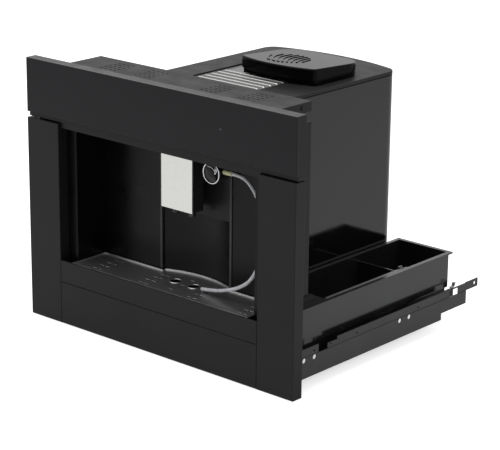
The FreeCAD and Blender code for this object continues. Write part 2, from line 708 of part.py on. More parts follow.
def niche():
    """The liner of the niche, its hollow channel and the two guides of the spout's carriage."""
    wall = "niche_half + sheet"
    lip_half = "front_width / 2 - column_width - seam"
    shell = box("liner_outer", ("-(%s)" % wall, wall), ("niche_lip_back", "niche_back + sheet"),
                ("niche_floor - sheet", "niche_ceiling + sheet"))
    lip = box("liner_lip", ("-(%s)" % lip_half, lip_half), ("niche_lip_back", "niche_lip_back + sheet"),
              ("niche_floor - sheet", "column_height"))
    hollow = box("liner_hollow", ("-niche_half", "niche_half"), ("niche_lip_back - over", "niche_back"),
                 ("niche_floor", "niche_ceiling"))
    left, right = "channel_middle - channel_width / 2", "channel_middle + channel_width / 2"
    doorway = box("liner_doorway", (left, right), ("guide_front - seam", "niche_back + sheet + over"),
                  ("niche_floor", "niche_ceiling + sheet + over"))
    node(cut("liner_piece", joined("liner_whole", [shell, lip]), [hollow, doorway]), "niche_liner")

    radius, axis = channel_place()
    up = ("niche_floor", "channel_top - niche_floor")
    outer = rod("channel_outer", "z", radius + " + sheet", ("channel_middle", axis, up[0]), up[1])
    inner = rod("channel_inner", "z", radius, ("channel_middle", axis, "niche_floor - over"),
                up[1] + " + over * 2")
    slab = box("channel_slab", (left, right),
               ("channel_start", "channel_start + channel_hollow + 2 * sheet"),
               ("niche_floor", "channel_top"))
    node(cut("channel_piece", shared("channel_block", outer, slab), [inner]), "niche_channel")

    guides = []
    for side in ("left", "right"):
        wide = (left, left + " + guide_width") if side == "left" else (right + " - guide_width", right)
        groove = (left + " + guide_width - guide_bite - slide_play",
                  right + " - guide_width + guide_bite + slide_play")
        block = box("guide_block_" + side, wide, ("guide_front", "channel_start"),
                    ("tray_top + sheet", "channel_top"))
        slot = box("guide_slot_" + side, groove,
                   ("niche_back - slide_play", "niche_back + thin_sheet + slide_play"),
                   ("niche_floor", "channel_top + over"))
        guides.append(cut("guide_" + side, block, [slot]))
    node(joined("guides_piece", guides), "carriage_guides")


def spout():
    """The carriage plate, the spout that it carries, and the two coffee nozzles."""
    left, right = "channel_middle - channel_width / 2", "channel_middle + channel_width / 2"
    plate = box("carriage_piece", (left + " + guide_width - guide_bite",
                                   right + " - guide_width + guide_bite"),
                ("niche_back", "niche_back + thin_sheet"),
                ("carriage_base", "carriage_base + carriage_height"))
    node(plate, "carriage_plate")

    half = "spout_width / 2"
    top = "spout_base + spout_height"
    face = box("spout_face", ("spout_middle - %s" % half, "spout_middle + %s" % half),
               ("spout_front", "spout_front + spout_plate_depth"), ("spout_base", top))
    soft_face = rounded("spout_face_soft", face,
                        [(lambda edge, middle: near_back(middle.y, "spout_front"), "soft_edge")])
    node(soft_face, "spout_plate")

    inner = half + " - spout_margin"
    block_back = "spout_front + spout_plate_depth + spout_body_depth"
    block = box("spout_block", ("spout_middle - (%s)" % inner, "spout_middle + %s" % inner),
                ("spout_front + spout_plate_depth", block_back), ("spout_base", top))
    soft_block = rounded("spout_block_soft", block,
                         [(lambda edge, middle: runs_along(edge, 2) and near_back(middle.y, block_back),
                           "spout_margin")])
    neck = box("spout_neck_block", ("spout_middle - spout_neck / 2", "spout_middle + spout_neck / 2"),
               (block_back + " - over", "niche_back"), ("spout_base + spout_margin * 4", top))
    nozzle_y = "spout_front + spout_plate_depth + spout_body_depth / 2"
    nozzle_z = "spout_base - nozzle_drop"
    nozzles = []
    bores = []
    for side, sign in (("left", "-"), ("right", "+")):
        place = ("spout_middle %s nozzle_spread" % sign, nozzle_y)
        outer = rod("nozzle_" + side, "z", "nozzle_radius", place + (nozzle_z,),
                    "nozzle_drop + nozzle_seat")
        bore = rod("nozzle_bore_" + side, "z", "nozzle_bore", place + (nozzle_z + " - over",),
                   "nozzle_drop + nozzle_seat + over * 2")
        nozzles.append(cut("nozzle_piece_" + side, outer, [bore]))
        bores.append(rod("nozzle_seat_" + side, "z", "nozzle_radius", place + ("spout_base - over",),
                         "nozzle_seat + over"))
    node(cut("spout_housing_piece", joined("spout_housing_whole", [soft_block, neck]), bores),
         "spout_housing")
    node(joined("nozzles_piece", nozzles), "spout_nozzles")


def frother():
    """The milk frother under the ceiling, its round knob, and the sleeve of the milk hose."""
    barrel_front = "knob_front + knob_depth + seam"
    barrel = rod("frother_barrel", "y", "frother_radius", ("knob_x", barrel_front, "knob_height"),
                 "frother_back - (%s)" % barrel_front)
    neck = box("frother_neck_block", ("knob_x - frother_neck / 2", "knob_x + frother_neck / 2"),
               (barrel_front + " + dish_depth", "frother_back"), ("knob_height", "niche_ceiling"))
    spigot = rod("frother_spigot", "x", "spigot_radius", ("knob_x", "spigot_y", "spigot_height"),
                 "spigot_end - knob_x")
    socket = rod("knob_socket", "y", "knob_stem + shaft_play",
                 ("knob_x", barrel_front + " - over", "knob_height"), "knob_stem * 3")
    whole = joined("frother_whole", [barrel, neck, spigot])
    node(cut("frother_piece", whole, [socket]), "frother_body")

    ring = rod("ring_outer", "y", "knob_radius", ("knob_x", "knob_front", "knob_height"), "knob_depth")
    bore = rod("ring_bore", "y", "knob_radius - rim_width", ("knob_x", "knob_front - over", "knob_height"),
               "knob_depth + over * 2")
    soft_ring = rounded("ring_soft", cut("ring_piece", ring, [bore]),
                        [(lambda edge, middle: near_back(middle.y, "knob_front"), "rim_soft")])
    node(soft_ring, "knob_ring")

    dial = rod("dial_disc", "y", "knob_radius - rim_width",
               ("knob_x", "knob_front + dish_depth", "knob_height"), "knob_depth - dish_depth")
    stem = rod("dial_stem", "y", "knob_stem", ("knob_x", "knob_front + dish_depth", "knob_height"),
               "knob_stem * 2 + knob_depth - dish_depth")
    ridge = new("Part::Box", "dial_ridge")
    ridge.Placement = FreeCAD.Placement(Vector(), FreeCAD.Rotation(Vector(0, 1, 0), 45))
    ridge.setExpression("Length", tie("ridge_length"))
    ridge.setExpression("Width", tie("dish_depth - ridge_sunk + over / 2"))
    ridge.setExpression("Height", tie("ridge_width"))
    ridge.setExpression("Placement.Base.x", tie("knob_x - (ridge_length + ridge_width) / 2 * diagonal"))
    ridge.setExpression("Placement.Base.y", behind("knob_front + ridge_sunk"))
    ridge.setExpression("Placement.Base.z",
                        tie("knob_height + (ridge_length - ridge_width) / 2 * diagonal"))
    node(joined("dial_piece", [dial, stem, ridge]), "frother_knob")

    sleeve = rod("sleeve_outer", "x", "sleeve_radius", ("sleeve_start", "spigot_y", "spigot_height"),
                 "sleeve_end - sleeve_start")
    sleeve_bore = rod("sleeve_bore", "x", "hose_radius + hose_fit",
                      ("sleeve_start - over", "spigot_y", "spigot_height"),
                      "sleeve_end - sleeve_start + over * 2")
    node(cut("sleeve_piece", sleeve, [sleeve_bore]), "hose_sleeve")


def tangent_path(points):
    """Straight runs joined by tangent arcs, each arc as large as its two runs allow."""
    edges = []
    radii = []
    start = points[0]
    for before, corner, after in zip(points, points[1:], points[2:]):
        back = (before - corner).normalize()
        ahead = (after - corner).normalize()
        half_turn = (math.pi - back.getAngle(ahead)) / 2
        reach = 0.45 * min((before - corner).Length, (after - corner).Length)
        radius = reach / math.tan(half_turn)
        centre = corner + (back + ahead).normalize() * (radius / math.cos(half_turn))
        first = corner + back * reach
        last = corner + ahead * reach
        middle = centre + (corner - centre).normalize() * radius
        edges.append(Part.LineSegment(start, first).toShape())
        edges.append(Part.Arc(first, middle, last).toShape())
        radii.append(radius)
        start = last
    edges.append(Part.LineSegment(start, points[-1]).toShape())
    return Part.Wire(edges), radii


def milk_hose():
    """A limp tube of one bore along its route, from inside its sleeve to the drip grid."""
    shift = of("ear_end") / 2
    points = [Vector(x, y - shift, z) for x, y, z in HOSE_ROUTE]
    path, radii = tangent_path(points)
    lead = Part.LineSegment(points[0] - Vector(of("hose_insert"), 0, 0), points[0]).toShape()
    route = Part.Wire([lead] + path.Edges)
    start = points[0] - Vector(of("hose_insert"), 0, 0)
    ring = Part.Wire([Part.Circle(start, Vector(1, 0, 0), of("hose_radius")).toShape()])
    shell = Part.BRepOffsetAPI.MakePipeShell(route)
    shell.add(ring)
    shell.build()
    shell.makeSolid()
    tube = new("Part::Feature", "hose_piece")
    tube.Shape = shell.shape()
    node(tube, "milk_hose")
    ideal = math.pi * of("hose_radius") ** 2 * route.Length
    print("hose: %.0f mm long, tightest arc %.1f mm, volume %.4f of section times length"
          % (route.Length, min(radii), tube.Shape.Volume / ideal))


# ---------------------------------------------------------------- drip tray and lower drawer

def tray_outline(name, inset, low, high):
    """A slab with the drip tray's outline: straight, with a round bulge into the channel."""
    half = "niche_half - tray_margin - (%s)" % inset
    slab = box(name + "_slab", ("-(%s)" % half, half), ("tray_front_wall + seam + (%s)" % inset,
               "tray_back - (%s)" % inset), (low, high))
    radius, axis = channel_place()
    play = "tray_margin + (%s)" % inset
    bulge = rod(name + "_bulge", "z", "(%s) - (%s)" % (radius, play), ("channel_middle", axis, low),
                "(%s) - (%s)" % (high, low))
    side = "channel_width / 2 - guide_width - (%s)" % play
    window = box(name + "_window", ("channel_middle - (%s)" % side, "channel_middle + %s" % side),
                 ("tray_back - (%s) - over" % inset, "channel_start + channel_hollow"), (low, high))
    return joined(name, [slab, shared(name + "_round", bulge, window)])


def drip_tray():
    """The tray's front, its basin, and the steel grid that lies in it."""
    inner = "front_width / 2 - column_width - seam"
    front = box("tray_front_block", ("-(%s)" % inner, inner), ("0", "tray_front_wall"),
                ("tray_base", "tray_top"))
    soft_front = rounded("tray_front_soft", front, [(round_front_edges, "soft_edge")])
    node(soft_front, "tray_front")

    grid_base = "tray_top - grid_rim_rise - grid_sheet"
    basin_outer = tray_outline("basin_outer", "grid_sheet + seam", "niche_floor + seam", grid_base)
    basin_inner = tray_outline("basin_inner", "grid_sheet + seam + tray_wall",
                               "niche_floor + seam + tray_wall", grid_base + " + over")
    bridge = box("basin_bridge", ("-bridge_half", "bridge_half"),
                 ("tray_front_wall", "tray_front_wall + grid_sheet + over"),
                 ("niche_floor + seam", grid_base + " - grid_skirt - seam"))
    node(joined("basin_piece", [cut("basin_shell", basin_outer, [basin_inner]), bridge]), "tray_basin")

    outer = tray_outline("grid_outer", "0", grid_base + " - grid_skirt", "tray_top")
    under = tray_outline("grid_under", "grid_sheet", grid_base + " - grid_skirt - over", grid_base)
    dished = tray_outline("grid_dished", "grid_rim", "tray_top - grid_rim_rise", "tray_top + over")
    deep = grid_base + " - over"
    tools = [under, dished]
    places = [("channel_middle",
               "single_first + single_step * %d" % row) for row in range(SINGLE_SLOT_COUNT)]
    for group in ("- pair_far", "- pair_near", "+ pair_near", "+ pair_far"):
        for half_step in ("-", "+"):
            x = "channel_middle %s %s dash_step / 2" % (group, half_step)
            places += [(x, "row_first + row_step * %d" % row) for row in range(GRID_ROW_COUNT)]
    for count, (x, y) in enumerate(places):
        tools.append(box("dash_%d" % count, (x + " - dash_length / 2", x + " + dash_length / 2"),
                         (y + " - dash_width / 2", y + " + dash_width / 2"), (deep, "tray_top")))
    for side, sign in (("left", "-"), ("right", "+")):
        place = ("channel_middle %s drain_spread" % sign, "drain_y", deep)
        tools.append(rod("drain_" + side, "z", "dish_radius", place, "tray_top - (%s)" % deep))
    node(cut("grid_piece", outer, tools), "drip_grid")


def lower_drawer():
    """The lower front with the container for used grounds, and the runners it slides on."""
    inner = "front_width / 2 - column_width - seam"
    front = box("drawer_outer", ("-(%s)" % inner, inner), ("0", "front_depth - sheet"),
                ("seam", "drawer_top"))
    hollow = box("drawer_hollow", ("drawer_wall - (%s)" % inner, inner + " - drawer_wall"),
                 ("drawer_wall", "front_depth"), ("drawer_wall + seam", "drawer_top - drawer_wall"))
    soft_front = rounded("drawer_soft", front, [(round_front_edges, "soft_edge")])
    node(cut("drawer_piece", soft_front, [hollow]), "drawer_front")

    body_box = box("grounds_outer", ("grounds_left", "grounds_right"), ("drawer_wall", "grounds_back"),
                   ("grounds_floor", "grounds_top"))
    inside = box("grounds_inner", ("grounds_left + grounds_wall", "grounds_right - grounds_wall"),
                 ("front_depth + sheet", "grounds_back - grounds_wall"),
                 ("grounds_floor + grounds_wall", "grounds_top + over"))
    lips = []
    runners = []
    for side in ("left", "right"):
        edge = "grounds_" + side
        out = "%s - lip_width" % edge if side == "left" else "%s + lip_width" % edge
        across = (out, edge) if side == "left" else (edge, out)
        lips.append(box("lip_" + side, across, ("front_depth + sheet", "grounds_back"),
                        ("lip_base", "lip_base + lip_height")))
        wall = "%s - seam * 2 - thin_sheet" % out if side == "left" else "%s + seam * 2" % out
        foot = "%s + seam * 2" % out if side == "left" else "%s + seam * 2" % edge
        web = (wall, wall + " + thin_sheet")
        shelf = (wall, edge + " - seam * 2") if side == "left" else (foot, wall + " + thin_sheet")
        shelf_top = "lip_base - seam"
        back = "grounds_back + lip_width"
        runner = [box("runner_shelf_" + side, shelf, ("front_depth + sheet", back),
                      (shelf_top + " - thin_sheet", shelf_top)),
                  box("runner_web_" + side, web, ("front_depth + sheet", back),
                      (shelf_top + " - thin_sheet", "pan_base")),
                  box("runner_hanger_" + side, web, ("front_depth + sheet", "niche_back"),
                      ("pan_base - over", "niche_floor - sheet"))]
        runners.append(joined("runner_" + side, runner))
    node(cut("grounds_piece", joined("grounds_whole", [body_box] + lips), [inside]), "grounds_container")
    node(joined("runners_piece", runners), "drawer_runners")


# ---------------------------------------------------------------- top

def vent_hood():
    """The folded plate over the front part, with four groups of vent slots."""
    plate = body("hood_body")
    outline = sketch(plate, "hood_outline", "XY_Plane", "hood_top")
    rectangle(outline, ("-hood_half", "hood_half"), ("front_depth + sheet", "hood_back"))
    pad(plate, "hood_pad", outline, "hood_skirt", reverse=True)
    inside = sketch(plate, "hood_inside", "XY_Plane", "hood_top - hood_skirt")
    rectangle(inside, ("thin_sheet - hood_half", "hood_half - thin_sheet"),
              ("front_depth", "hood_back - thin_sheet"))
    pocket(plate, "hood_hollow", inside, "hood_skirt - thin_sheet", reverse=True)
    slot = sketch(plate, "vent_outline", "XY_Plane", "hood_top")
    columns_across, rows_back, groups_across = VENT_COUNTS
    first_x = "vent_near - vent_step_x * %s / 2 - vent_length / 2" % (columns_across - 1)
    first_y = "vent_y - vent_step_y * %s / 2 - vent_width / 2" % (rows_back - 1)
    rectangle(slot, (first_x, first_x + " + vent_length"), (first_y, first_y + " + vent_width"))
    vent = pocket(plate, "vent_slot", slot, "thin_sheet * 2")
    axis_x = [item for item in plate.Origin.OriginFeatures if item.Role == "X_Axis"][0]
    axis_y = [item for item in plate.Origin.OriginFeatures if item.Role == "Y_Axis"][0]
    side_plane = [item for item in plate.Origin.OriginFeatures if item.Role == "YZ_Plane"][0]
    groups = plate.newObject("PartDesign::MultiTransform", "vent_groups")
    groups.Originals = [vent]
    steps = []
    for name, axis, count, step in (("vent_row", axis_x, columns_across, "vent_step_x"),
                                    ("vent_rows", axis_y, rows_back, "vent_step_y"),
                                    ("vent_pair", axis_x, groups_across, "vent_far - vent_near")):
        pattern = plate.newObject("PartDesign::LinearPattern", name)
        pattern.Direction = (axis, [""])
        pattern.Occurrences = count
        pattern.Mode = "Spacing"
        pattern.setExpression("Offset", tie(step))
        steps.append(pattern)
    twin = plate.newObject("PartDesign::Mirrored", "vent_twin")
    twin.MirrorPlane = (side_plane, [""])
    groups.Transformations = steps + [twin]
    plate.Tip = groups
    node(plate, "vent_hood")


def body_outline(name, inset, low, high):
    """A slab with the body's plan: square in front, round corners and a bowed back."""
    front = "body_front"
    middle = "(body_left + body_right) / 2"
    half = "(body_right - body_left) / 2"
    slab = box(name + "_slab", ("body_left + (%s)" % inset, "body_right - (%s)" % inset),
               (front, "body_corner_y + body_bow"), (low, high))
    radius = "((%s) * (%s) + body_bow * body_bow) / (2 * body_bow)" % (half, half)
    bow = rod(name + "_bow", "z", "(%s) - (%s)" % (radius, inset),
              (middle, "body_corner_y + body_bow - (%s)" % radius, low), "(%s) - (%s)" % (high, low))
    whole = shared(name + "_plan", slab, bow)

    def back_corner(edge, middle_point):
        limit = of("body_corner_y - body_corner - ear_end / 2")
        return runs_along(edge, 2) and middle_point.y > limit
    return rounded(name, whole, [(back_corner, "body_corner - (%s)" % inset)])


def body_and_cover():
    """The casing round the works, the cover on top of it, and the cup tray in the cover."""
    shell_top = "cover_base - shadow_gap"
    outer = body_outline("shell_outer", "0", "body_base", shell_top)
    inner = body_outline("shell_inner", "sheet", "body_base - over", shell_top + " + over")
    front_gap = box("shell_front", ("body_left + sheet", "body_right - sheet"),
                    ("body_front - over", "body_front + casing_mouth"),
                    ("body_base - over", shell_top + " + over"))
    port = box("inlet_port", ("inlet_x - inlet_width / 2", "inlet_x + inlet_width / 2"),
               ("body_corner_y - body_corner", "body_corner_y + body_bow + over"),
               ("inlet_foot", "inlet_foot + inlet_height"))
    node(cut("shell_piece", outer, [inner, front_gap, port]), "body_shell")

    slab = body_outline("cover_slab", "0", "cover_base", "cover_top")
    plug = body_outline("cover_plug", "sheet + seam", shell_top + " - plug_depth", "cover_base")
    plug_hole = body_outline("cover_plug_hole", "sheet * 2 + seam", shell_top + " - plug_depth - over",
                             "cover_base")
    rim = cut("cover_rim", plug, [plug_hole])
    recess = box("cup_recess", ("cup_left", "cup_right"), ("body_front - over", "cup_back"),
                 ("cover_top - cup_depth", "cover_top + over"))
    mouth = box("hopper_mouth", ("hopper_left", "hopper_right"), ("hopper_front", "hopper_back"),
                ("cover_base - over", "cover_top + over"))
    soft = rounded("cover_soft", joined("cover_whole", [slab, rim]),
                   [(lambda edge, middle: near(middle.z, "cover_top") and not near_back(middle.y,
                                                                                        "body_front"),
                     "cover_edge")])
    node(cut("cover_piece", soft, [recess, mouth]), "top_cover")

    plate_top = "cover_top - cup_depth + cup_plate_sheet"
    plate = box("cup_plate_piece", ("cup_left + seam", "cup_right - seam"),
                ("body_front", "cup_back - seam"), ("cover_top - cup_depth", plate_top))
    node(plate, "cup_plate")
    rails = []
    for count in range(CUP_RAIL_COUNT):
        place = ("cup_rail_left", "cup_rail_first + cup_rail_step * %d" % count, plate_top)
        bar = rod("cup_rail_%d" % count, "x", "cup_rail_radius", place, "cup_rail_right - cup_rail_left")
        half = box("cup_half_%d" % count, ("cup_rail_left - over", "cup_rail_right + over"),
                   (place[1] + " - cup_rail_radius - over", place[1] + " + cup_rail_radius + over"),
                   (plate_top, plate_top + " + cup_rail_radius + over"))
        rails.append(shared("cup_strip_%d" % count, bar, half))
    node(joined("cup_rails_piece", rails), "cup_rails")


def lid_outline(name, inset, low, high):
    """A slab with the hopper lid's plan: small corners in front, large ones behind."""
    slab = box(name + "_slab", ("lid_left + (%s)" % inset, "lid_right - (%s)" % inset),
               ("lid_front + (%s)" % inset, "lid_back - (%s)" % inset), (low, high))

    def front_corner(edge, middle):
        return runs_along(edge, 2) and near_back(middle.y, "lid_front + (%s)" % inset)

    def back_corner(edge, middle):
        return runs_along(edge, 2) and near_back(middle.y, "lid_back - (%s)" % inset)
    return rounded(name, slab, [(front_corner, "lid_front_corner - (%s)" % inset),
                                (back_corner, "lid_back_corner - (%s)" % inset)])


def bowed_outline(name, inset, low, high):
    """The lid's own plan, whose front bulges in one arc between its corners."""
    slab = box(name + "_slab", ("lid_left + (%s)" % inset, "lid_right - (%s)" % inset),
               ("lid_nose", "lid_back - (%s)" % inset), (low, high))
    bow = "((lid_half * lid_half + lid_bow * lid_bow) / (2 * lid_bow))"
    disc = rod(name + "_bow", "z", "%s - (%s)" % (bow, inset),
               ("lid_left + lid_half", "lid_nose + " + bow, low), "(%s) - (%s)" % (high, low))

    def front_corner(edge, middle):
        return runs_along(edge, 2) and middle.y < of("(lid_front + lid_back - ear_end) / 2")

    def back_corner(edge, middle):
        return runs_along(edge, 2) and middle.y > of("(lid_front + lid_back - ear_end) / 2")
    return rounded(name, shared(name + "_shape", slab, disc),
                   [(front_corner, "lid_front_corner - (%s)" % inset),
                    (back_corner, "lid_back_corner - (%s)" % inset)])


def bean_hopper():
    """The collar on the cover, the hopper under it, and the lid with its seal."""
    collar_outer = lid_outline("collar_outer", "lid_gap", "cover_top", "cover_top + collar_height")
    collar_inner = lid_outline("collar_inner", "lid_gap + collar_wall", "cover_top - over",
                               "cover_top + collar_height + over")
    grip = box("collar_grip", ("lid_left + lid_front_corner", "lid_right - lid_front_corner"),
               ("lid_front - over", "lid_front + lid_gap + grip_depth"),
               ("cover_top + collar_height - grip_height", "lid_top"))
    node(cut("collar_piece", collar_outer, [collar_inner, grip]), "hopper_collar")

    base = "cover_top + collar_height + lid_gap"
    outer = bowed_outline("lid_outer", "0", base, "lid_top")
    inner = bowed_outline("lid_inner", "lid_wall", base + " - over", "lid_top - lid_drop - lid_wall")
    tilt = math.degrees(math.atan2(of("lid_drop"), of("lid_back - lid_nose")))
    slope = box("lid_slope", ("lid_left - over", "lid_right + over"),
                ("lid_nose", "lid_back + slope_block"), ("lid_top", "lid_top + slope_block"))
    slope.Placement = FreeCAD.Placement(slope.Placement.Base, FreeCAD.Rotation(Vector(1, 0, 0), -tilt))
    sloped = cut("lid_sloped", outer, [slope])
    soft = rounded("lid_soft", sloped,
                   [(lambda edge,
                     middle: middle.z > of("lid_top - lid_drop - over") and not runs_along(edge, 2),
                     "lid_edge")])
    ribs = grip_ribs(tilt)
    node(cut("lid_piece", joined("lid_whole", [soft, ribs]), [inner]), "hopper_lid")

    seal_base = "cover_top + collar_height + seam"
    seal_outer = lid_outline("seal_outer", "seal_inset", seal_base, seal_base + " + seal_width")
    seal_inner = lid_outline("seal_inner", "seal_inset + seal_width", seal_base + " - over",
                             seal_base + " + seal_width + over")
    node(cut("seal_piece", seal_outer, [seal_inner]), "lid_seal")

    mouth = ("hopper_left + seam", "hopper_right - seam")
    deep = ("hopper_front + seam", "hopper_back - seam")
    shaft = box("hopper_shaft", mouth, deep, ("hopper_neck", "cover_top"))
    flange = box("hopper_flange_plate", ("hopper_left - hopper_flange", "hopper_right + hopper_flange"),
                 ("hopper_front - hopper_flange", "hopper_back + hopper_flange"),
                 ("cover_top", "cover_top + sheet"))
    shaft_inner = box("hopper_shaft_inner",
                      ("hopper_left + seam + hopper_wall", "hopper_right - seam - hopper_wall"),
                      ("hopper_front + seam + hopper_wall", "hopper_back - seam - hopper_wall"),
                      ("hopper_neck - over", "cover_top + sheet + over"))
    funnel = new("Part::Wedge", "hopper_funnel")
    funnel_inner = new("Part::Wedge", "hopper_funnel_inner")
    for wedge, wall, extra in ((funnel, "0", "0"), (funnel_inner, "hopper_wall", "0.5")):
        shape_funnel(wedge, wall, extra)
    node(cut("hopper_piece", joined("hopper_whole", [shaft, flange, funnel]), [shaft_inner, funnel_inner]),
         "bean_hopper")


def shape_funnel(wedge, wall, extra):
    """A hollow that narrows downwards from the hopper's shaft to the grinder's mouth."""
    low, high = "hopper_base - (%s)" % extra, "hopper_neck + (%s)" % extra
    mouth = "burr_bore + hopper_wall - (%s)" % wall
    ties = {
        "Xmin": "hopper_left + seam + (%s)" % wall, "Xmax": "hopper_right - seam - (%s)" % wall,
        "Zmin": "hopper_front + seam + (%s) - ear_end / 2" % wall,
        "Zmax": "hopper_back - seam - (%s) - ear_end / 2" % wall,
        "Ymin": "-(%s)" % high, "Ymax": "-(%s)" % low,
        "X2min": "burr_x - (%s)" % mouth, "X2max": "burr_x + %s" % mouth,
        "Z2min": "burr_y - (%s) - ear_end / 2" % mouth, "Z2max": "burr_y + %s - ear_end / 2" % mouth,
    }
    for name, text in ties.items():
        wedge.setExpression(name, tie(text))
    wedge.Placement = FreeCAD.Placement(Vector(), FreeCAD.Rotation(Vector(1, 0, 0), -90))


def grip_ribs(tilt):
    """Ribs in slanting arcs across a round field on top of the lid."""
    middle = Vector(of("lid_left + lid_half - rib_left"),
                    of("lid_front - ear_end / 2 + rib_set_back"), of("cover_top"))
    bend, width, step, reach = of("rib_bend"), of("rib_width"), of("rib_step"), of("rib_reach")
    tall = of("slope_block")
    skin = Part.makeBox(of("lid_half * 2"), of("lid_back - lid_nose"), of("rib_rise + sheet"),
                        Vector(0, 0, -of("sheet")))
    skin.Placement = FreeCAD.Placement(
        Vector(of("lid_left"), of("lid_nose - ear_end / 2"), of("lid_top")),
        FreeCAD.Rotation(Vector(1, 0, 0), -tilt))
    field = Part.makeCylinder(reach, tall, middle).common(skin)
    count = int(reach / step)
    ribs = []
    for number in range(-2 * count, count + 1):
        foot = middle + Vector(number * step + bend, of("rib_turn"), 0)
        outer = Part.makeCylinder(bend + width / 2, tall, foot)
        inner = Part.makeCylinder(bend - width / 2, tall, foot)
        left_side = Part.makeBox(bend, 2 * bend, tall, foot + Vector(-bend - width, -bend, 0))
        rib = outer.cut(inner).common(left_side).common(field)
        if rib.Volume > width * step:
            ribs.append(rib)
    feature = new("Part::Feature", "lid_ribs")
    feature.Shape = Part.makeCompound(ribs)
    return feature


# ---------------------------------------------------------------- works inside the body

def grinder():
    """The grinder under the hopper: housing, two burrs, shaft and motor."""
    place = ("burr_x", "burr_y")
    top = "hopper_base - seam"
    outer = rod("grinder_outer", "z", "grinder_radius", place + ("grinder_base",),
                "%s - grinder_base" % top)
    chamber = rod("grinder_chamber", "z", "grinder_radius - grinder_wall",
                  place + ("grinder_base + grinder_wall",), "%s - grinder_base - grinder_wall * 2" % top)
    mouth = rod("grinder_mouth", "z", "burr_bore", place + ("grinder_base + grinder_wall",),
                "%s + over - grinder_base" % top)
    shaft_bore = rod("grinder_shaft_bore", "z", "shaft_radius + shaft_play",
                     place + ("grinder_base - over",), "grinder_wall + over * 2")
    chute = box("grinder_chute", ("burr_x - outlet_half", "burr_x + outlet_half"),
                ("burr_y - grinder_radius - over", "burr_y - grinder_radius + outlet_depth"),
                ("grinder_base + grinder_wall", "grinder_base + grinder_wall + outlet_height"))
    node(cut("grinder_piece", outer, [chamber, mouth, shaft_bore, chute]), "grinder_housing")

    upper_base = "%s - grinder_wall - burr_height" % top
    upper = rod("upper_burr_disc", "z", "burr_radius", place + (upper_base,), "burr_height")
    upper_bore = rod("upper_burr_bore", "z", "burr_bore", place + (upper_base + " - over",),
                     "burr_height + over * 2")
    node(cut("upper_burr_piece", upper, [upper_bore]), "upper_burr")

    lower_base = "%s - burr_gap - burr_height" % upper_base
    lower = rod("lower_burr_disc", "z", "burr_radius", place + (lower_base,), "burr_height")
    shaft_foot = "grinder_base - shaft_sink"
    shaft = rod("grinder_shaft", "z", "shaft_radius", place + (shaft_foot,),
                "%s - (%s) + burr_height" % (lower_base, shaft_foot))
    cone = new("Part::Cone", "burr_cone")
    cone.setExpression("Radius1", tie("burr_bore - burr_gap * 2"))
    cone.setExpression("Radius2", tie("shaft_radius * 0.5"))
    cone.setExpression("Height", tie("burr_height"))
    cone.setExpression("Placement.Base.x", tie("burr_x"))
    cone.setExpression("Placement.Base.y", behind("burr_y"))
    cone.setExpression("Placement.Base.z", tie(lower_base + " + burr_height"))
    node(joined("lower_burr_piece", [lower, shaft, cone]), "lower_burr")

    motor_top = "grinder_base - seam"
    motor = rod("motor_can", "z", "motor_radius", place + ("%s - motor_height" % motor_top,),
                "motor_height")
    motor_bore = rod("motor_bore", "z", "shaft_radius + shaft_play",
                     place + ("grinder_base - shaft_sink - seam",), "shaft_sink + over")
    soft_motor = rounded("motor_soft", motor,
                         [(lambda edge, middle: near(middle.z, "%s - motor_height" % motor_top),
                           "grinder_wall")])
    node(cut("motor_piece", soft_motor, [motor_bore]), "grinder_motor")


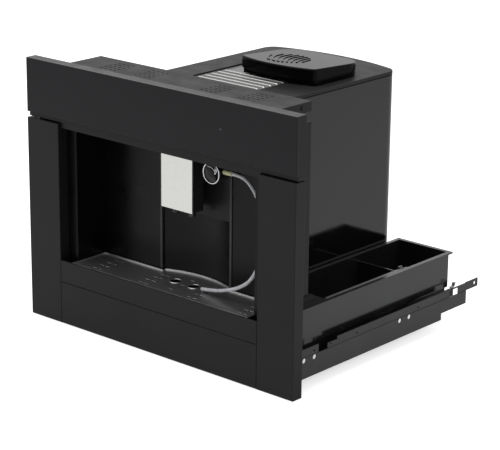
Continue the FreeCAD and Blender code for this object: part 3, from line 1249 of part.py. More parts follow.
def brew_group():
    """The brew group: a frame with four posts, the brew cylinder and its piston."""
    place = ("brew_x", "brew_y")
    sides = ("brew_x - brew_half", "brew_x + brew_half"), ("brew_y - brew_half", "brew_y + brew_half")
    lower = box("brew_lower", sides[0], sides[1], ("brew_base", "brew_base + brew_plate"))
    upper = box("brew_upper", sides[0], sides[1], ("brew_top - brew_plate", "brew_top"))
    shelf = box("brew_shelf", sides[0], sides[1], ("cylinder_base - brew_plate", "cylinder_base"))
    posts = []
    inset = "brew_half - brew_post"
    for number, (sign_x, sign_y) in enumerate((("-", "-"), ("+", "-"), ("-", "+"), ("+", "+"))):
        corner = ("brew_x %s (%s)" % (sign_x, inset), "brew_y %s (%s)" % (sign_y, inset), "brew_base")
        posts.append(rod("brew_post_%d" % number, "z", "brew_post", corner, "brew_top - brew_base"))
    feet = box("brew_feet", sides[0], ("brew_y + brew_half - brew_post * 2", "brew_y + brew_half"),
               ("pan_base + thin_sheet", "brew_base"))
    front_feet = box("brew_front_feet", sides[0], ("body_front + bulkhead_set_back + sheet", "chute_front"),
                     ("pan_base + thin_sheet", "brew_base + brew_plate"))
    front_link = box("brew_front_link", sides[0], ("chute_front - over", "brew_y - brew_half + over"),
                     ("brew_base", "brew_base + brew_plate"))
    drop = rod("brew_drop", "z", "cylinder_bore", place + ("brew_base - over",), "brew_plate + over * 2")
    rod_bore = rod("brew_rod_bore", "z", "piston_rod + shaft_play",
                   place + ("brew_top - brew_plate - over",), "brew_plate + over * 2")
    shelf_bore = rod("brew_shelf_bore", "z", "cylinder_bore",
                     place + ("cylinder_base - brew_plate - over",), "brew_plate + over * 2")
    frame = joined("brew_frame_whole", [lower, upper, shelf, feet, front_feet, front_link] + posts)
    node(cut("brew_frame_piece", frame, [drop, rod_bore, shelf_bore]), "brew_frame")

    deep = "brew_plate + seam + piston_height + piston_travel"
    outer = rod("cylinder_outer", "z", "cylinder_radius", place + ("cylinder_base",), deep)
    bore = rod("cylinder_inner", "z", "cylinder_bore", place + ("cylinder_base + brew_plate",), deep)
    outlet = rod("cylinder_outlet", "z", "shaft_radius", place + ("cylinder_base - over",),
                 "brew_plate + over * 2")
    node(cut("cylinder_piece", outer, [bore, outlet]), "brew_cylinder")

    head_base = "cylinder_base + brew_plate + seam"
    head = rod("piston_head", "z", "cylinder_bore - shaft_play", place + (head_base,), "piston_height")
    stem = rod("piston_stem", "z", "piston_rod", place + (head_base,),
               "brew_top + brew_plate - (%s)" % head_base)
    node(joined("piston_piece", [head, stem]), "brew_piston")


def water_works():
    """The boiler, the pump, the main circuit board and the mains inlet."""
    boiler = rod("boiler_tank", "z", "boiler_radius", ("boiler_x", "boiler_y", "pan_base + thin_sheet"),
                 "boiler_height")
    flange = rod("boiler_flange", "z", "boiler_radius + boiler_rim",
                 ("boiler_x", "boiler_y", "pan_base + thin_sheet + boiler_height * 0.6"), "grinder_wall")
    spout_pipe = rod("boiler_pipe", "z", "shaft_radius",
                     ("boiler_x", "boiler_y", "pan_base + thin_sheet + boiler_height - over"),
                     "grinder_radius")
    soft_boiler = rounded("boiler_soft", boiler,
                          [(lambda edge, middle: near(middle.z, "pan_base + thin_sheet + boiler_height"),
                            "brew_plate")])
    node(joined("boiler_piece", [soft_boiler, flange, spout_pipe]), "boiler")

    pump_base = "pan_base + thin_sheet"
    middle = "pump_y + pump_width / 2"
    frame = box("pump_frame", ("pump_x - pump_width / 2", "pump_x + pump_width / 2"),
                ("pump_y", "pump_y + pump_width"), (pump_base, pump_base + " + pump_width"))
    barrel = rod("pump_barrel", "y", "pump_width / 2 - sheet",
                 ("pump_x", "pump_y - pump_length / 4", pump_base + " + pump_width / 2"), "pump_length")
    nose = rod("pump_nose", "y", "shaft_radius + sheet",
               ("pump_x", "pump_y - pump_length / 4 - brew_plate", pump_base + " + pump_width / 2"),
               "brew_plate + over")
    node(joined("pump_piece", [frame, barrel, nose]), "pump")

    board_x = ("mainboard_x", "mainboard_x + board_thickness")
    board = box("mainboard", board_x, ("mainboard_y", "mainboard_y + mainboard_length"),
                ("mainboard_foot", "mainboard_foot + mainboard_height"))
    parts = [board]
    for number, (along, up, length, height) in enumerate(BOARD_PARTS):
        parts.append(box("board_part_%d" % number,
                         ("mainboard_x + board_thickness",
                          "mainboard_x + board_thickness + chip_height"),
                         ("mainboard_y + mainboard_length * %s" % along,
                          "mainboard_y + mainboard_length * %s" % (along + length)),
                         ("mainboard_foot + mainboard_height * %s" % up,
                          "mainboard_foot + mainboard_height * %s" % (up + height))))
    for number, (along, up) in enumerate(BOARD_STUDS):
        parts.append(rod("board_stud_%d" % number, "x", "stud_radius",
                         ("body_left + sheet", "mainboard_y + mainboard_length * %s" % along,
                          "mainboard_foot + mainboard_height * %s" % up),
                         "mainboard_x - body_left - sheet"))
    node(joined("mainboard_piece", parts), "control_board")

    sides = ("inlet_x - inlet_width / 2 + seam", "inlet_x + inlet_width / 2 - seam")
    up = ("inlet_foot + seam", "inlet_foot + inlet_height - seam")
    back = "inlet_back"
    block = box("inlet_block", sides, (back + " - inlet_depth", back), up)
    socket = box("inlet_socket", ("inlet_x - inlet_width / 2 + inlet_flange",
                                  "inlet_x + inlet_width / 2 - inlet_flange"),
                 (back + " - inlet_depth + inlet_flange / 2", back + " + over"),
                 ("inlet_foot + inlet_flange / 2", "inlet_foot + inlet_height - inlet_flange / 2"))
    blades = []
    for number in (-1, 0, 1):
        x = "inlet_x + blade_step * (%d) - blade_width / 2" % number
        blades.append(box("inlet_blade_%d" % (number + 2), (x, x + " + blade_width"),
                          (back + " - inlet_depth + over", back + " - inlet_flange / 2"),
                          ("inlet_foot + inlet_height / 2 - blade_height / 2",
                           "inlet_foot + inlet_height / 2 + blade_height / 2")))
    node(joined("inlet_piece", [cut("inlet_shell", block, [socket])] + blades), "power_inlet")


def base_pan():
    """The sheet pan that carries the works, with the carriers that stand on the slides."""
    plate = box("pan_plate", ("-pan_half", "pan_half"), ("pan_front", "pan_back"),
                ("pan_base", "pan_base + thin_sheet"))
    chute = box("pan_chute", ("chute_left", "chute_right"), ("chute_front", "chute_back"),
                ("pan_base - over", "body_base"))
    carriers = []
    for side, sign in (("right", 1), ("left", -1)):
        across = ("pan_half", "slide_inner_edge") if sign > 0 else ("-slide_inner_edge", "-pan_half")
        carriers.append(box("pan_side_" + side, across, ("front_depth + sheet", "pan_back"),
                            ("pan_base - pan_skirt", "pan_base + thin_sheet")))
        carriers.append(box("pan_tail_" + side, across, ("pan_back - over", "rail_end - sheet"),
                            ("pan_base - pan_skirt", "rail_bend")))
        low, high = "niche_half + arm_gap", "pan_half"
        across = (low, high) if sign > 0 else ("-" + high, "-(%s)" % low)
        carriers.append(box("pan_arm_" + side, across, ("front_depth + sheet", "pan_front + over"),
                            ("pan_base", "pan_base + thin_sheet")))
        for end in ("front", "rear"):
            low, high = "pan_half", "slide_inner_edge"
            across = (low, high) if sign > 0 else ("-" + high, "-" + low)
            wide = ("pan_half - brew_post", high) if sign > 0 else ("-" + high, "brew_post - pan_half")
            start = "carrier_" + end
            carriers.append(box("carrier_web_%s_%s" % (side, end), across,
                                (start, start + " + carrier_length"),
                                (slide_level("inner")[0], "pan_base + thin_sheet")))
            carriers.append(box("carrier_top_%s_%s" % (side, end), wide,
                                (start, start + " + carrier_length"),
                                ("pan_base", "pan_base + thin_sheet")))
    node(joined("pan_piece", [cut("pan_open", plate, [chute])] + carriers), "base_pan")

    bulk = box("bulkhead_plate", ("body_left + sheet + seam", "body_right - sheet - seam"),
               ("body_front + bulkhead_set_back", "body_front + bulkhead_set_back + sheet"),
               ("pan_base + thin_sheet", "cover_base - shadow_gap - plug_depth"))
    notch = box("bulkhead_chute", ("chute_left", "chute_right"),
                ("body_front", "body_front + bulkhead_set_back + sheet + over"),
                ("pan_base", "brew_base + brew_plate * 4"))
    node(cut("bulkhead_piece", bulk, [notch]), "bulkhead")


# ---------------------------------------------------------------- water tank

def tank_plan(name, inset, low, high):
    """The tank's plan: the full width behind the niche, and a narrow arm beside it."""
    left, right = "tank_left + rim_lip + (%s)" % inset, "tank_right - rim_lip - (%s)" % inset
    main = box(name + "_main", (left, right),
               ("tank_step_y + rim_lip + (%s)" % inset, "tank_back - rim_lip - (%s)" % inset),
               (low, high))
    arm = box(name + "_arm", ("tank_step_x + rim_lip + (%s)" % inset, right),
              ("tank_front + rim_lip + (%s)" % inset, "tank_back - rim_lip * 4"), (low, high))
    return joined(name, [main, arm])


def water_tank():
    """The removable water tank with its rim, deck, ledge and divider."""
    outer = tank_plan("tank_outer", "0", "tank_base", "tank_rim")

    def long_lower_edge(edge, middle):
        return near(middle.z, "tank_base") and runs_along(edge, 1) and near(middle.x,
                                                                            "tank_right - rim_lip")
    soft = rounded("tank_soft", outer, [(long_lower_edge, "tank_round")])
    rim = tank_plan("tank_rim_plate", "-rim_lip", "tank_rim - rim_height", "tank_rim")
    inner = tank_plan("tank_inner", "tank_wall", "tank_base + tank_wall", "tank_rim + over")
    keep = box("tank_keep", ("tank_left + rim_lip + tank_wall",
                             "tank_right - rim_lip - tank_wall - tank_round"),
               ("tank_front", "tank_back"), ("tank_base + tank_wall", "tank_rim + over * 2"))
    upper = box("tank_keep_upper", ("tank_left", "tank_right"), ("tank_front", "tank_back"),
                ("tank_base + tank_wall + tank_round", "tank_rim + over * 2"))
    hollow = shared("tank_hollow", inner, joined("tank_keep_whole", [keep, upper]))
    shell = cut("tank_shell", joined("tank_whole", [soft, rim]), [hollow])
    deck = tank_plan("tank_deck", "0", "tank_rim - rim_height * 2", "tank_rim - rim_height")
    deck_front = box("tank_deck_cut", ("tank_left", "tank_right"), ("tank_front", "deck_back"),
                     ("tank_base", "tank_rim"))
    ledge = box("tank_ledge", ("ledge_left", "tank_right - rim_lip"),
                ("deck_back - over", "handle_pivot_y + rim_lip * 2"),
                ("ledge_base - rim_height", "ledge_base"))
    divider = box("tank_divider", ("tank_left + rim_lip", "tank_right - rim_lip - over"),
                  ("divider_y - tank_wall / 2", "divider_y + tank_wall / 2"),
                  ("tank_base + over", "divider_top"))
    passage = box("tank_passage", ("tank_left + rim_lip * 4", "tank_left + rim_lip * 8"),
                  ("divider_y - rim_lip", "divider_y + rim_lip"),
                  ("tank_base + tank_wall", "tank_base + tank_wall + rim_lip * 3"))
    clips = []
    for side, low in (("inner", "handle_x - seam - clip_wall"),
                      ("outer", "handle_x + handle_width + seam")):
        clips.append(box("clip_" + side, (low, low + " + clip_wall"),
                         ("handle_pivot_y - rim_lip", "handle_pivot_y + rim_lip"),
                         ("ledge_base - over", "handle_pivot_height + rim_lip")))
    pin = rod("clip_pin", "x", "pivot_radius",
              ("handle_x - seam - clip_wall / 2", "handle_pivot_y", "handle_pivot_height"),
              "handle_width + seam * 2 + clip_wall")
    added = [shared("tank_deck_piece", deck, deck_front), ledge,
             cut("tank_divider_piece", divider, [passage]), pin] + clips
    whole = joined("tank_all", [shell] + added)
    valve_hole = rod("valve_hole", "z", "valve_neck", ("valve_x", "valve_y", "tank_base - over"),
                     "tank_wall + over * 2")
    node(cut("tank_piece", whole, [valve_hole]), "water_tank")

    valve_top = rod("valve_top", "z", "valve_neck - shaft_play",
                    ("valve_x", "valve_y", "tank_base - valve_drop"), "valve_drop + tank_wall + rim_lip")
    valve_cap = rod("valve_cap", "z", "valve_radius", ("valve_x", "valve_y", "tank_base + tank_wall"),
                    "rim_lip")
    node(joined("valve_piece", [valve_top, valve_cap]), "tank_valve")

    handle_low = "handle_pivot_height - handle_thick / 2"
    grip = box("handle_bar", ("handle_x", "handle_x + handle_width"), ("handle_front", "handle_pivot_y"),
               (handle_low, handle_low + " + handle_thick"))
    eye = rod("handle_eye", "x", "eye_radius", ("handle_x", "handle_pivot_y", "handle_pivot_height"),
              "handle_width")
    bore = rod("handle_bore", "x", "pivot_radius + shaft_play",
               ("handle_x - over", "handle_pivot_y", "handle_pivot_height"), "handle_width + over * 2")
    foot = box("handle_foot", ("handle_x", "handle_x + handle_width"),
               ("handle_front", "handle_front + handle_width"),
               ("ledge_base + seam", handle_low + " + over"))
    node(cut("handle_piece", joined("handle_whole", [grip, eye, foot]), [bore]), "tank_handle")

    docks = []
    for name in ("dock_first", "dock_second", "dock_third"):
        docks.append(box(name, ("dock_left", "dock_right"), (name, name + " + dock_width"),
                         ("pan_base + thin_sheet", "tank_base")))
    dock_hole = rod("dock_hole", "z", "valve_neck + seam", ("valve_x", "valve_y", "pan_base"),
                    "tank_base - pan_base + over")
    node(cut("dock_piece", joined("dock_whole", docks), [dock_hole]), "tank_dock")


# ---------------------------------------------------------------- rails

def slide_level(member):
    """The lower and upper face of one slide member."""
    low, high = "channel_base", "rail_base"
    steps = {"outer": 0, "middle": 1, "inner": 2}[member]
    step = "(slide_wall + slide_gap) * %d" % steps
    return "%s + %s" % (low, step), "%s - %s" % (high, step)


def slide_member(member, side_open):
    """One member of the right slide: a channel open towards the machine, or a bar."""
    low, high = slide_level(member)
    steps = {"outer": 0, "middle": 1, "inner": 2}[member]
    web = "rail_face - (slide_wall + slide_gap) * %d" % steps
    outer = box("slide_%s_outer" % member, (side_open, web), ("rail_start + seam", "channel_end"),
                (low, high))
    if member == "inner":
        return outer
    hollow = box("slide_%s_hollow" % member, (side_open + " - over", web + " - slide_wall"),
                 ("rail_start", "channel_end + over"), (low + " + slide_wall", high + " - slide_wall"))
    return cut("slide_%s_right" % member, outer, [hollow])


def slides():
    """The two telescopic slides: a fixed, a middle and a moving member on each side."""
    edges = {"outer": "rail_face - flange_width", "middle": "rail_face - flange_width + sheet",
             "inner": "slide_inner_edge"}
    for member, edge in edges.items():
        right = slide_member(member, edge)
        left = mirrored("slide_%s_left" % member, right)
        node(joined("slide_%s_pair" % member, [right, left]), "slide_" + member)


def rail_bracket():
    """The sheet bracket that is screwed to the cabinet's side, and its mirror image."""
    face = "rail_face"
    web = box("bracket_web", (face + " - thin_sheet", face), ("rail_start", "rail_end"),
              ("rail_base", "rail_bend"))
    upper = box("bracket_upper", (face + " - bend_step - thin_sheet", face + " - bend_step"),
                ("rail_start", "rail_end"), ("rail_bend - thin_sheet", "rail_top"))
    flange = box("bracket_flange", (face + " - flange_width", face), ("rail_start", "channel_end"),
                 ("rail_base", "rail_base + thin_sheet"))
    ear = box("bracket_ear", (face + " - bend_step - thin_sheet", face + " - bend_step"),
              ("rail_end - over", "ear_end"), ("rail_bend", "rail_bend + ear_height"))
    deep = (face + " - flange_width", face + " + over")
    tools = [box("front_notch", deep, ("notch_front", "notch_front + notch_length"),
                 ("rail_bend", "rail_top + over")),
             box("tab_step", deep, ("notch_front + notch_length - over", "tab_back"),
                 ("rail_top - tab_drop", "rail_top + over")),
             box("rear_window", deep, ("window_front", "window_front + window_length"),
                 ("rail_bend", "rail_top - tab_drop / 2")),
             rod("ear_hole", "x", "ear_hole",
                 (face + " - flange_width", "ear_end - ear_hole_inset", "rail_bend + ear_height / 2"),
                 "flange_width + over")]
    first = "fixing_first"
    for number, place in enumerate((first, first + " + fixing_step", first + " + fixing_distance",
                                    first + " + fixing_distance + fixing_step")):
        tools.append(rod("fixing_%d" % number, "x", "fixing_radius",
                         (face + " - flange_width", place, "fixing_height"), "flange_width + over"))
    for place in ("pilot_first", "pilot_second", "pilot_third", "pilot_fourth"):
        tools.append(rod(place, "x", "pilot_radius", (face + " - flange_width", place, "pilot_height"),
                         "flange_width + over"))
    right = node(cut("bracket_right", joined("bracket_whole", [web, upper, flange, ear]), tools),
                 "rail_bracket_right")
    node(mirrored("bracket_left", right), "rail_bracket_left")


def cover_screws():
    """The round-headed screws on the back of the casing and on the vent hood's sides."""
    heads = []
    places = []
    for side, sign in (("left", "-"), ("right", "+")):
        for end, y in (("front", "front_depth + screw_inset"), ("back", "hood_back - screw_inset")):
            places.append((side + "_" + end, sign, y))
    for name, sign, y in places:
        start = "hood_half" if sign == "+" else "-hood_half - screw_head"
        heads.append(rod("screw_" + name, "x", "screw_radius", (start, y, "hood_top - hood_skirt / 2"),
                         "screw_head"))
    node(joined("screws_piece", heads), "cover_screws")


# ---------------------------------------------------------------- build and write

for make in (control_panel, panel_housing, columns, front_frame, header_strip, niche, spout, frother,
             milk_hose, drip_tray, lower_drawer, vent_hood, body_and_cover, bean_hopper, grinder,
             brew_group, water_works, base_pan, water_tank, slides, rail_bracket, cover_screws):
    make()
doc.recompute()

failed = [item.Name for item in doc.Objects if "Invalid" in item.State or "Error" in item.State]
if failed:
    raise SystemExit("failed objects: " + ", ".join(failed))
for label, piece in nodes.items():
    if piece.Shape.isNull() or not piece.Shape.isValid() or not piece.Shape.Solids:
        raise SystemExit("bad shape: " + label)

os.makedirs("parts", exist_ok=True)
for label, piece in nodes.items():
    piece.Shape.exportStep(os.path.join("parts", label + ".step"))
    print("%-20s %d solids, %9.0f mm3" % (label, len(piece.Shape.Solids), piece.Shape.Volume))
print(len(nodes), "nodes")
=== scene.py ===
# %% [markdown]
# # Dressing a built in coffee machine
# The solids of this machine come from a CAD model: a dark front with an open niche, a
# body with a bean hopper, a water tank at the right and two pull-out rails. Here they
# get their looks. Every solid keeps its place, so we load them as a fixed frame and
# add finishes and a few finer pieces.

# %% Load the imported model
import json
import math

import bmesh
import bpy
from mathutils import Matrix, Vector


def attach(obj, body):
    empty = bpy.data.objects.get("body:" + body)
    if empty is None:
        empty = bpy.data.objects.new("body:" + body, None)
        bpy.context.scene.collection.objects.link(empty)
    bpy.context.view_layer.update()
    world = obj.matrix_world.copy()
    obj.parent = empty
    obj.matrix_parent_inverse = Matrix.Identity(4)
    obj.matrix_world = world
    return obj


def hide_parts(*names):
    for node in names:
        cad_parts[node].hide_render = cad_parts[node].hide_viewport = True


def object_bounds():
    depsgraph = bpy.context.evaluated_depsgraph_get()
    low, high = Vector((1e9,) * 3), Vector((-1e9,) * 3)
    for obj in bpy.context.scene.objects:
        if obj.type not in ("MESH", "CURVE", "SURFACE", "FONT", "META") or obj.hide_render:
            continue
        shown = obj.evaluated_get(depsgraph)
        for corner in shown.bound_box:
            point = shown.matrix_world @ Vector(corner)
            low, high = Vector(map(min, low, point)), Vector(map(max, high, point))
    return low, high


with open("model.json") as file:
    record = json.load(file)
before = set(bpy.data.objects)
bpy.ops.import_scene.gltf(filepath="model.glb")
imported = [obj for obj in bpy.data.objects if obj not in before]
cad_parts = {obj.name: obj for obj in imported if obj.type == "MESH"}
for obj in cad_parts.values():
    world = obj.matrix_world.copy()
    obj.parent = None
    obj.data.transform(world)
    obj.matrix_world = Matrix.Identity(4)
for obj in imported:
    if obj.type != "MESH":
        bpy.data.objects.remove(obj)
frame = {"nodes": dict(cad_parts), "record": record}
bpy.context.scene.view_settings.view_transform = "Standard"
cad_box = [list(corner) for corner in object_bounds()]
print("box of the solids:", cad_box)

# %% [markdown]
# ## The camera
# The photograph looks down from the right at about 17 degrees. The camera's place came
# from matching corners of the front, the hood and the rails with the picture, so it is
# written as angles and a distance in metres. A long lens keeps the sides nearly parallel.

# %% Place the camera
YAW, PITCH, ROLL = (math.radians(angle) for angle in (41.2, 17.46, 0.59))
CAMERA_PLACE = Vector((2.061, -2.379, 1.154))
CAMERA_LENS = 138.1


def looking_axes(yaw, pitch, roll):
    forward = Vector((-math.sin(yaw) * math.cos(pitch), math.cos(yaw) * math.cos(pitch),
                      -math.sin(pitch)))
    right = Vector((math.cos(yaw), math.sin(yaw), 0.0))
    up = right.cross(forward)
    turned_right = right * math.cos(roll) + up * math.sin(roll)
    turned_up = up * math.cos(roll) - right * math.sin(roll)
    return turned_right, turned_up, forward


def camera_matrix(place, axes):
    right, up, forward = axes
    matrix = Matrix((right, up, -forward)).transposed().to_4x4()
    matrix.translation = place
    return matrix


camera_data = bpy.data.cameras.new("photo_camera")
camera_data.sensor_width = 36.0
camera_data.sensor_fit = "HORIZONTAL"
camera_data.lens = CAMERA_LENS
camera = bpy.data.objects.new("photo_camera", camera_data)
bpy.context.scene.collection.objects.link(camera)
camera.matrix_world = camera_matrix(CAMERA_PLACE, looking_axes(YAW, PITCH, ROLL))
bpy.context.scene.camera = camera
print("camera at", tuple(CAMERA_PLACE))

# %% [markdown]
# ## The milk hose
# A thin silicone hose hangs from the frother in one wide bow and ends over the drip
# tray. It is soft, so its line has no corner anywhere. A smooth spline with a round
# bevel is the simplest way to get that: the points below pull the line towards them,
# and the bevel gives it its 6 mm thickness. The radius is given at the points, and the
# bevel only passes it on, because Blender then reports the true box of the line.

# %% Bend the milk hose
HOSE_RADIUS = 0.003
HOSE_POINTS = (
    (0.1240, -0.2100, 0.3233), (0.1435, -0.2102, 0.3238), (0.1610, -0.2108, 0.3155),
    (0.1755, -0.2116, 0.3005), (0.1860, -0.2124, 0.2810), (0.1915, -0.2132, 0.2590),
    (0.1930, -0.2138, 0.2365), (0.1918, -0.2144, 0.2140), (0.1870, -0.2148, 0.1918),
    (0.1785, -0.2150, 0.1710), (0.1645, -0.2148, 0.1528), (0.1450, -0.2142, 0.1396),
    (0.1225, -0.2132, 0.1300), (0.1000, -0.2118, 0.1230), (0.0790, -0.2106, 0.1186),
    (0.0600, -0.2112, 0.1166),
)


def smooth_line(name, points, radius, sides=6):
    line = bpy.data.curves.new(name, "CURVE")
    line.dimensions = "3D"
    spline = line.splines.new("NURBS")
    spline.points.add(len(points) - 1)
    for point, place in zip(spline.points, points):
        point.co = (*place, 1.0)
        point.radius = radius
    spline.order_u = 3
    spline.use_endpoint_u = True
    spline.resolution_u = 12
    line.bevel_depth = 1.0
    line.bevel_resolution = sides
    line.use_fill_caps = True
    piece = bpy.data.objects.new(name, line)
    bpy.context.scene.collection.objects.link(piece)
    return piece


hose = smooth_line("milk_hose_bow", HOSE_POINTS, HOSE_RADIUS)
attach(hose, "machine")
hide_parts("milk_hose")
print("hose with", len(HOSE_POINTS), "points")

# %% [markdown]
# ## Studio light and floor
# The photograph is a cut-out on pure white with soft light from all around. A white
# world gives the glossy black faces something plain to reflect, while a weaker tone of
# it lights the matt ones. Light Path tells the two apart: what the camera sees, and what
# gloss and glass show, is white, and everything else gets the gentler light.

# %% Light the studio
def white_studio(strength):
    world = bpy.data.worlds.new("white_studio")
    bpy.context.scene.world = world
    world.use_nodes = True
    nodes, links = world.node_tree.nodes, world.node_tree.links
    nodes.clear()
    soft, white = nodes.new("ShaderNodeBackground"), nodes.new("ShaderNodeBackground")
    soft.inputs["Color"].default_value = (0.97, 0.98, 1.0, 1.0)
    soft.inputs["Strength"].default_value = strength
    white.inputs["Color"].default_value = (1.0, 1.0, 1.0, 1.0)
    rays = nodes.new("ShaderNodeLightPath")
    seen = rays.outputs["Is Camera Ray"]
    for kind in ("Is Glossy Ray", "Is Transmission Ray"):
        either = nodes.new("ShaderNodeMath")
        either.operation = "MAXIMUM"
        links.new(seen, either.inputs[0])
        links.new(rays.outputs[kind], either.inputs[1])
        seen = either.outputs[0]
    mix = nodes.new("ShaderNodeMixShader")
    out = nodes.new("ShaderNodeOutputWorld")
    links.new(seen, mix.inputs["Fac"])
    links.new(soft.outputs[0], mix.inputs[1])
    links.new(white.outputs[0], mix.inputs[2])
    links.new(mix.outputs[0], out.inputs["Surface"])


def soft_lamp(name, place, target, width, power):
    data = bpy.data.lights.new(name, "AREA")
    data.size = width
    data.energy = power
    lamp = bpy.data.objects.new(name, data)
    bpy.context.scene.collection.objects.link(lamp)
    lamp.location = place
    direction = Vector(target) - Vector(place)
    lamp.rotation_euler = direction.to_track_quat("-Z", "Y").to_euler()


MATT_LIGHT = 0.55
OBJECT_MIDDLE = (0.0, 0.0, 0.22)
white_studio(MATT_LIGHT)
soft_lamp("top_softbox", (-0.6, -1.2, 3.4), OBJECT_MIDDLE, width=2.4, power=70.0)
soft_lamp("side_softbox", (3.2, 0.4, 2.2), OBJECT_MIDDLE, width=1.6, power=25.0)
print("studio lit; strength of the light on matt faces:", MATT_LIGHT)

# %% [markdown]
# The floor is a wide pale sheet just under the machine. To the camera it must look as
# white as the backdrop but keep a soft shadow, so its matt shading is mixed with an even
# white glow that only the camera sees.

# %% Lay the floor
FLOOR_GLOW = 0.62
FLOOR_GAP, FLOOR_HALF = 0.001, 12.0


def floor_finish():
    finish = bpy.data.materials.new("pale_floor")
    finish.use_nodes = True
    nodes, links = finish.node_tree.nodes, finish.node_tree.links
    shader = nodes["Principled BSDF"]
    shader.inputs["Base Color"].default_value = (0.93, 0.93, 0.93, 1.0)
    shader.inputs["Roughness"].default_value = 0.9
    rays = nodes.new("ShaderNodeLightPath")
    share = nodes.new("ShaderNodeMath")
    share.operation = "MULTIPLY"
    share.inputs[1].default_value = FLOOR_GLOW
    links.new(rays.outputs["Is Camera Ray"], share.inputs[0])
    shader.inputs["Emission Color"].default_value = (1.0, 1.0, 1.0, 1.0)
    links.new(share.outputs[0], shader.inputs["Emission Strength"])
    return finish


def floor_sheet(height, half):
    mesh = bpy.data.meshes.new("studio_floor")
    corners = [(-half, -half, height), (half, -half, height), (half, half, height),
               (-half, half, height)]
    mesh.from_pydata(corners, [], [(0, 1, 2, 3)])
    piece = bpy.data.objects.new("studio_floor", mesh)
    bpy.context.scene.collection.objects.link(piece)
    mesh.materials.append(floor_finish())


floor_height = cad_box[0][2] - FLOOR_GAP
floor_sheet(floor_height, FLOOR_HALF)
print("floor at", round(floor_height, 4))

# %% [markdown]
# ## Finishes
# Nearly everything here is black, so the finishes differ by gloss and by their fine
# grain and hardly by colour. Each one starts from the same bench: a shader, the place
# of every point in metres, and helpers for grain, for spreading it over a range, for
# pressing it into the surface and for softening sharp edges. Noise seldom leaves its
# middle part, so only that part is spread over the range.

# %% Set up the finishing bench
def paint(red, green, blue):
    """A colour as a screen shows it, from 0 to 255, in the shader's own measure."""
    def level(value):
        share = value / 255.0
        return share / 12.92 if share <= 0.04045 else ((share + 0.055) / 1.055) ** 2.4
    return level(red), level(green), level(blue), 1.0


NOISE_LOW, NOISE_HIGH = 0.3, 0.7


class Bench:
    def __init__(self, name, roughness=0.5, metallic=0.0, specular=0.5):
        self.finish = bpy.data.materials.new(name)
        self.finish.use_nodes = True
        self.nodes = self.finish.node_tree.nodes
        self.links = self.finish.node_tree.links
        self.shader = self.nodes["Principled BSDF"]
        self.set("Roughness", roughness)
        self.set("Metallic", metallic)
        self.set("Specular IOR Level", specular)
        self.place = self.nodes.new("ShaderNodeTexCoord").outputs["Object"]
        self.normal = None

    def set(self, socket, value):
        self.shader.inputs[socket].default_value = value

    def grain(self, scale, detail=3.0, stretch=(1.0, 1.0, 1.0), rough=0.5):
        mapping = self.nodes.new("ShaderNodeMapping")
        mapping.inputs["Scale"].default_value = stretch
        noise = self.nodes.new("ShaderNodeTexNoise")
        noise.inputs["Scale"].default_value = scale
        noise.inputs["Detail"].default_value = detail
        noise.inputs["Roughness"].default_value = rough
        self.links.new(self.place, mapping.inputs["Vector"])
        self.links.new(mapping.outputs["Vector"], noise.inputs["Vector"])
        return noise.outputs["Fac"]

    def spread(self, source, low, high):
        span = self.nodes.new("ShaderNodeMapRange")
        for socket, value in zip(("From Min", "From Max", "To Min", "To Max"),
                                 (NOISE_LOW, NOISE_HIGH, low, high)):
            span.inputs[socket].default_value = value
        self.links.new(source, span.inputs["Value"])
        return span.outputs["Result"]

    def shade(self, source, dark, light):
        ramp = self.nodes.new("ShaderNodeValToRGB")
        for element, place, colour in zip(ramp.color_ramp.elements, (NOISE_LOW, NOISE_HIGH),
                                          (dark, light)):
            element.position, element.color = place, colour
        self.links.new(source, ramp.inputs["Fac"])
        self.links.new(ramp.outputs["Color"], self.shader.inputs["Base Color"])

    def polish(self, source, low, high):
        self.links.new(self.spread(source, low, high), self.shader.inputs["Roughness"])

    def soften_edges(self, radius):
        bevel = self.nodes.new("ShaderNodeBevel")
        bevel.samples = 4
        bevel.inputs["Radius"].default_value = radius
        self.normal = bevel.outputs["Normal"]
        self.links.new(self.normal, self.shader.inputs["Normal"])

    def press_in(self, source, strength, depth):
        bump = self.nodes.new("ShaderNodeBump")
        bump.inputs["Strength"].default_value = strength
        bump.inputs["Distance"].default_value = depth
        self.links.new(source, bump.inputs["Height"])
        if self.normal is not None:
            self.links.new(self.normal, bump.inputs["Normal"])
        self.normal = bump.outputs["Normal"]
        self.links.new(self.normal, self.shader.inputs["Normal"])


print("bench ready; black paint is", [round(v, 4) for v in paint(45, 45, 47)])

# %% [markdown]
# ### Lacquered sheet
# The front, its columns, the drawer and the rails are folded sheet with a satin
# lacquer. Lacquer has a very fine orange-peel skin, slight cloudiness in its sheen and
# edges that catch a line of light because they are never knife sharp.

# %% Mix the lacquers
def lacquered_sheet(name, dark, light, sheen_low, sheen_high, specular=0.5, edge=0.0006):
    bench = Bench(name, specular=specular)
    bench.shade(bench.grain(9.0, 4.0), dark, light)
    bench.polish(bench.grain(35.0, 3.0), sheen_low, sheen_high)
    bench.soften_edges(edge)
    bench.press_in(bench.grain(1400.0, 2.0), 0.12, 0.0002)
    return bench.finish


finishes = {
    "dark_panel": lacquered_sheet("satin_black_lacquer", paint(22, 22, 23),
                                  paint(26, 26, 28), 0.28, 0.36, 0.16, 0.001),
    "frame_steel": lacquered_sheet("black_frame_lacquer", paint(14, 14, 15),
                                   paint(20, 20, 21), 0.42, 0.5, 0.2),
    "cover": lacquered_sheet("grey_cover_lacquer", paint(33, 33, 34),
                             paint(38, 38, 39), 0.42, 0.52, 0.12),
    "rail_steel": lacquered_sheet("rail_lacquer", paint(40, 37, 39),
                                  paint(50, 47, 48), 0.3, 0.42, 0.3),
}
print("lacquers:", sorted(finishes))

